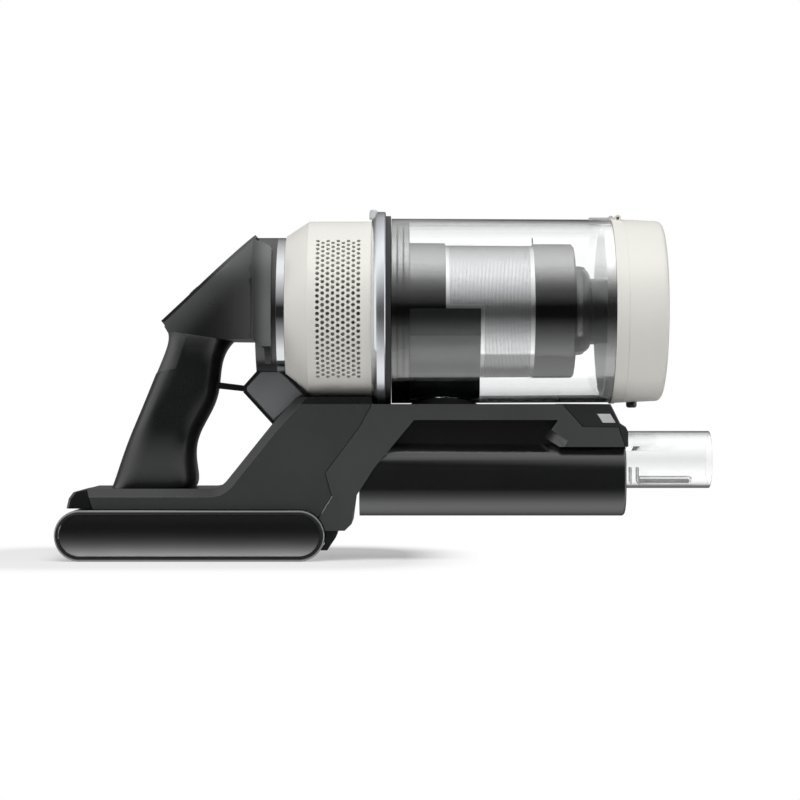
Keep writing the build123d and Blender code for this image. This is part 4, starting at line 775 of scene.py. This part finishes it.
# Webs that carry the contact rail at the root of the spigot
railWebs = {
    "first": 151.4,
    "pitch": 4.4,
    "count": 2,
    "drop": 9.6 * mm,
    "Thickness": 0.9 * mm,
    "Width": 11.0 * mm,
    "Height": 9.4 * mm,
}


def makeRailWebs():
    sizes = {key: railWebs[key] for key in ("Thickness", "Width", "Height")}
    webs = Pattern("railWebs", sizes)
    size = webs.vector(webs.given("Thickness"), webs.given("Width"), webs.given("Height"))
    block = webs.node("GeometryNodeMeshCube", {}, {"Size": size})
    points = []
    for step in range(railWebs["count"]):
        station = (railWebs["first"] + step * railWebs["pitch"]) * mm
        points.append((station, 0, pipeAxisZ - railWebs["drop"]))
    seat(webs.grow(block, points, clearRail), "contact_rail")


makeRailWebs()

# Printed marks on the sloping panel: flat shapes given as (along, across) points in millimetres
panelSlope = radians(41.9)
panelAlong = Vector((cos(panelSlope), 0, sin(panelSlope)))
panelUp = Vector((-sin(panelSlope), 0, cos(panelSlope)))
marks = {
    "stroke": 0.45,
    "arm": 1.7,
    "powerRadius": 1.9,
    "powerGap": 38,  # half of the ring's opening, in degrees
    "stemRise": 1.52,
    "stemHalf": 0.935,
    "lift": 0.04 * mm,
}


def panelTop(nodeName):
    corners = [vertex.co for vertex in nodes[nodeName].data.vertices]
    alongs = [corner.dot(panelAlong) for corner in corners]
    widths = [corner.y for corner in corners]
    height = max(corner.dot(panelUp) for corner in corners) + marks["lift"]
    middle = panelAlong * ((min(alongs) + max(alongs)) / 2) + panelUp * height
    middle.y = (min(widths) + max(widths)) / 2
    return middle


def bar(along, across):
    return [(-along, -across), (along, -across), (along, across), (-along, across)]


def arcPieces(radius, stroke, gap, steps=40):
    pieces = []
    start = radians(gap)
    sweep = (2 * pi - 2 * start) / steps
    for step in range(steps):
        near = start + step * sweep
        far = near + sweep
        edges = [(radius - stroke / 2, near), (radius + stroke / 2, near)]
        edges += [(radius + stroke / 2, far), (radius - stroke / 2, far)]
        pieces.append([(reach * cos(turn), reach * sin(turn)) for reach, turn in edges])
    return pieces


def printMark(name, nodeName, outlines):
    middle = panelTop(nodeName)
    work = bmesh.new()
    for outline in outlines:
        corners = []
        for along, across in outline:
            corners.append(work.verts.new(middle + panelAlong * (along * mm) + Vector((0, across * mm, 0))))
        face = work.faces.new(corners)
        face.normal_update()
        if face.normal.dot(panelUp) < 0:
            face.normal_flip()
    return seat(show(name, meshFrom(work, name), markInk), nodeName)


def makeMarks():
    half = marks["stroke"] / 2
    arm = marks["arm"]
    printMark("minusMark", "minus_button", [bar(half, arm)])
    printMark("plusMark", "plus_button", [bar(half, arm), bar(arm, half)])
    stem = [(along + marks["stemRise"], across) for along, across in bar(marks["stemHalf"], half)]
    ring = arcPieces(marks["powerRadius"], marks["stroke"], marks["powerGap"])
    printMark("powerMark", "power_button", ring + [stem])


makeMarks()

# Level bars on the display
displayBars = {"count": 5, "pitch": 6.0, "Length": 12.0 * mm, "Width": 3.2 * mm}


def makeDisplayBars():
    bars = Pattern("displayBars", {key: displayBars[key] for key in ("Length", "Width")})
    grid = {"Size X": bars.given("Length"), "Size Y": bars.given("Width"), "Vertices X": 2, "Vertices Y": 2}
    tilted = bars.moved(bars.node("GeometryNodeMeshGrid", {}, grid), turn=(0, -panelSlope, 0))
    middle = panelTop("display_window")
    points = []
    for step in range(displayBars["count"]):
        across = (step - (displayBars["count"] - 1) / 2) * displayBars["pitch"] * mm
        points.append(middle + Vector((0, across, 0)))
    seat(bars.grow(tilted, points, displayLight), "display_window")


makeDisplayBars()

# Fill tick printed on the near side of the bin
fillTick = {"station": 88.5, "height": 40.9, "length": 5.0, "width": 0.7, "lift": 0.06, "steps": 8}


def makeFillTick():
    low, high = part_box("bin_tube")
    radius = max(-low[1], high[1]) / mm + fillTick["lift"]
    middle = pi - asin(fillTick["height"] / radius)
    work = bmesh.new()
    rows = []
    for step in range(fillTick["steps"] + 1):
        turn = middle + (step / fillTick["steps"] - 0.5) * fillTick["length"] / radius
        row = []
        for side in (-0.5, 0.5):
            place = ((fillTick["station"] + side * fillTick["width"]) * mm, radius * mm * cos(turn))
            row.append(work.verts.new((*place, binAxisZ + radius * mm * sin(turn))))
        rows.append(row)
    for near, far in zip(rows, rows[1:]):
        work.faces.new((near[0], near[1], far[1], far[0]))
    seat(show("fillTick", meshFrom(work, "fillTick"), tickInk), "bin_tube")


makeFillTick()
print("repeats made")

# Camera
lens = {"mm": 105.2, "sensor": 36, "place": (8.74, -1450, 97.7)}
camera = bpy.data.objects.new("camera", bpy.data.cameras.new("camera"))
bpy.context.scene.collection.objects.link(camera)
camera.data.lens = lens["mm"]
camera.data.sensor_width = lens["sensor"]
camera.location = [value * mm for value in lens["place"]]
camera.rotation_euler = (radians(90), 0, 0)
bpy.context.scene.camera = camera

# Light tent: brightness by the angle about X, from straight ahead of the camera over the top and under
tent = {
    "mirrored": 2.2,  # as shiny faces see it
    "lighting": 0.44,  # as it lights matt faces
    "side": 1.0,
    "sideRange": (0.82, 0.96),
    "stops": [
        (-180, 0.08), (-140, 0.08),  # dark behind
        (-88, 0.9), (-66, 0.9), (-40, 0.4),  # soft box underneath
        (-10, 0.02), (4, 0.02),  # dark ahead, round the camera
        (62, 1.0), (80, 1.0),  # soft box overhead
        (160, 0.08), (180, 0.08),
    ],
}


def makeTent():
    world = bpy.data.worlds.new("studio")
    bpy.context.scene.world = world
    world.use_nodes = True
    world.node_tree.nodes.clear()
    sky = Workbench(world.node_tree)
    x, y, z = sky.split(sky.node("ShaderNodeTexCoord", out="Generated"))
    turn = z.angleFrom(y * -1) / (2 * pi) + 0.5
    stops = [((angle + 180) / 360, (level, level, level)) for angle, level in tent["stops"]]
    band = sky.node("ShaderNodeValToRGB", {"stops": stops}, {0: turn})
    aside = sky.ramp(x.size(), *tent["sideRange"])
    colour = sky.mixColour(aside, band, (tent["side"],) * 3)
    glossy = sky.lightPath("Glossy Depth").above(0.5)
    mirrored = sky.node("ShaderNodeBackground", {}, {"Color": colour, "Strength": tent["mirrored"]})
    lighting = sky.node("ShaderNodeBackground", {}, {"Color": colour, "Strength": tent["lighting"]})
    white = sky.node("ShaderNodeBackground", {}, {"Color": (1, 1, 1), "Strength": 1.0})
    bounced = sky.node("ShaderNodeMixShader", {}, {0: glossy, 1: lighting, 2: mirrored})
    bounces = sky.lightPath("Glossy Depth") + sky.lightPath("Diffuse Depth")
    throughClear = sky.lightPath("Is Transmission Ray") * bounces.below(0.5)
    straight = sky.lightPath("Is Camera Ray").atLeast(throughClear)
    blend = sky.node("ShaderNodeMixShader", {}, {0: straight, 1: bounced, 2: white})
    output = world.node_tree.nodes.new("ShaderNodeOutputWorld")
    sky.tree.links.new(blend.socket, output.inputs[0])


makeTent()

# One large soft lamp over the top, a little to the front
topLamp = {"place": (0.0, -0.85, 1.45), "width": 1.5, "depth": 0.9, "watts": 19.5}


def makeLamp():
    lamp = bpy.data.lights.new("topLamp", "AREA")
    lamp.shape = "RECTANGLE"
    lamp.size = topLamp["width"]
    lamp.size_y = topLamp["depth"]
    lamp.energy = topLamp["watts"]
    box = bpy.data.objects.new("topLamp", lamp)
    box.location = topLamp["place"]
    aim = Vector((0, 0, 0.12)) - Vector(topLamp["place"])
    box.rotation_euler = aim.to_track_quat("-Z", "Y").to_euler()
    box.visible_glossy = False
    box.visible_transmission = False
    bpy.context.scene.collection.objects.link(box)


makeLamp()

# Pale floor that keeps the shadow round the object's foot and runs out to plain white
floorSize = {"half": 6.0, "shadowReach": 0.01, "fade": 0.10, "lift": 0.4}


def makeFloor():
    finish = Finish("paleFloor")
    x, y, z = finish.xyz()
    low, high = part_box("battery_case")
    besideX = ((x - (low[0] + high[0]) / 2).size() - (high[0] - low[0]) / 2).atLeast(0)
    besideY = ((y - (low[1] + high[1]) / 2).size() - (high[1] - low[1]) / 2).atLeast(0)
    away = (besideX * besideX + besideY * besideY) ** 0.5
    dust = finish.noise(14, 3.0)
    shade = finish.mixColour(dust, (0.88, 0.88, 0.88), (0.91, 0.91, 0.91))
    finish.paint(colour=shade, roughness=0.8, specular=0.0)
    glow = finish.node("ShaderNodeEmission", {}, {"Color": (1, 1, 1), "Strength": 1.0})
    plain = finish.ramp(away, floorSize["shadowReach"], floorSize["fade"]).atLeast(floorSize["lift"])
    far = plain * finish.lightPath("Is Camera Ray")
    near = Wire(finish.tree, finish.shader.outputs[0])
    mixed = finish.node("ShaderNodeMixShader", {}, {0: far, 1: near, 2: glow})
    finish.tree.links.new(mixed.socket, finish.output.inputs[0])
    half = floorSize["half"]
    sheet = bpy.data.meshes.new("floor")
    corners = [(-half, -half, 0), (half, -half, 0), (half, half, 0), (-half, half, 0)]
    sheet.from_pydata(corners, [], [(0, 1, 2, 3)])
    floor = show("floor", sheet, finish.material)
    floor.visible_glossy = False
    floor.visible_transmission = False


makeFloor()
bpy.context.scene.view_settings.view_transform = "Standard"

print("stage set")
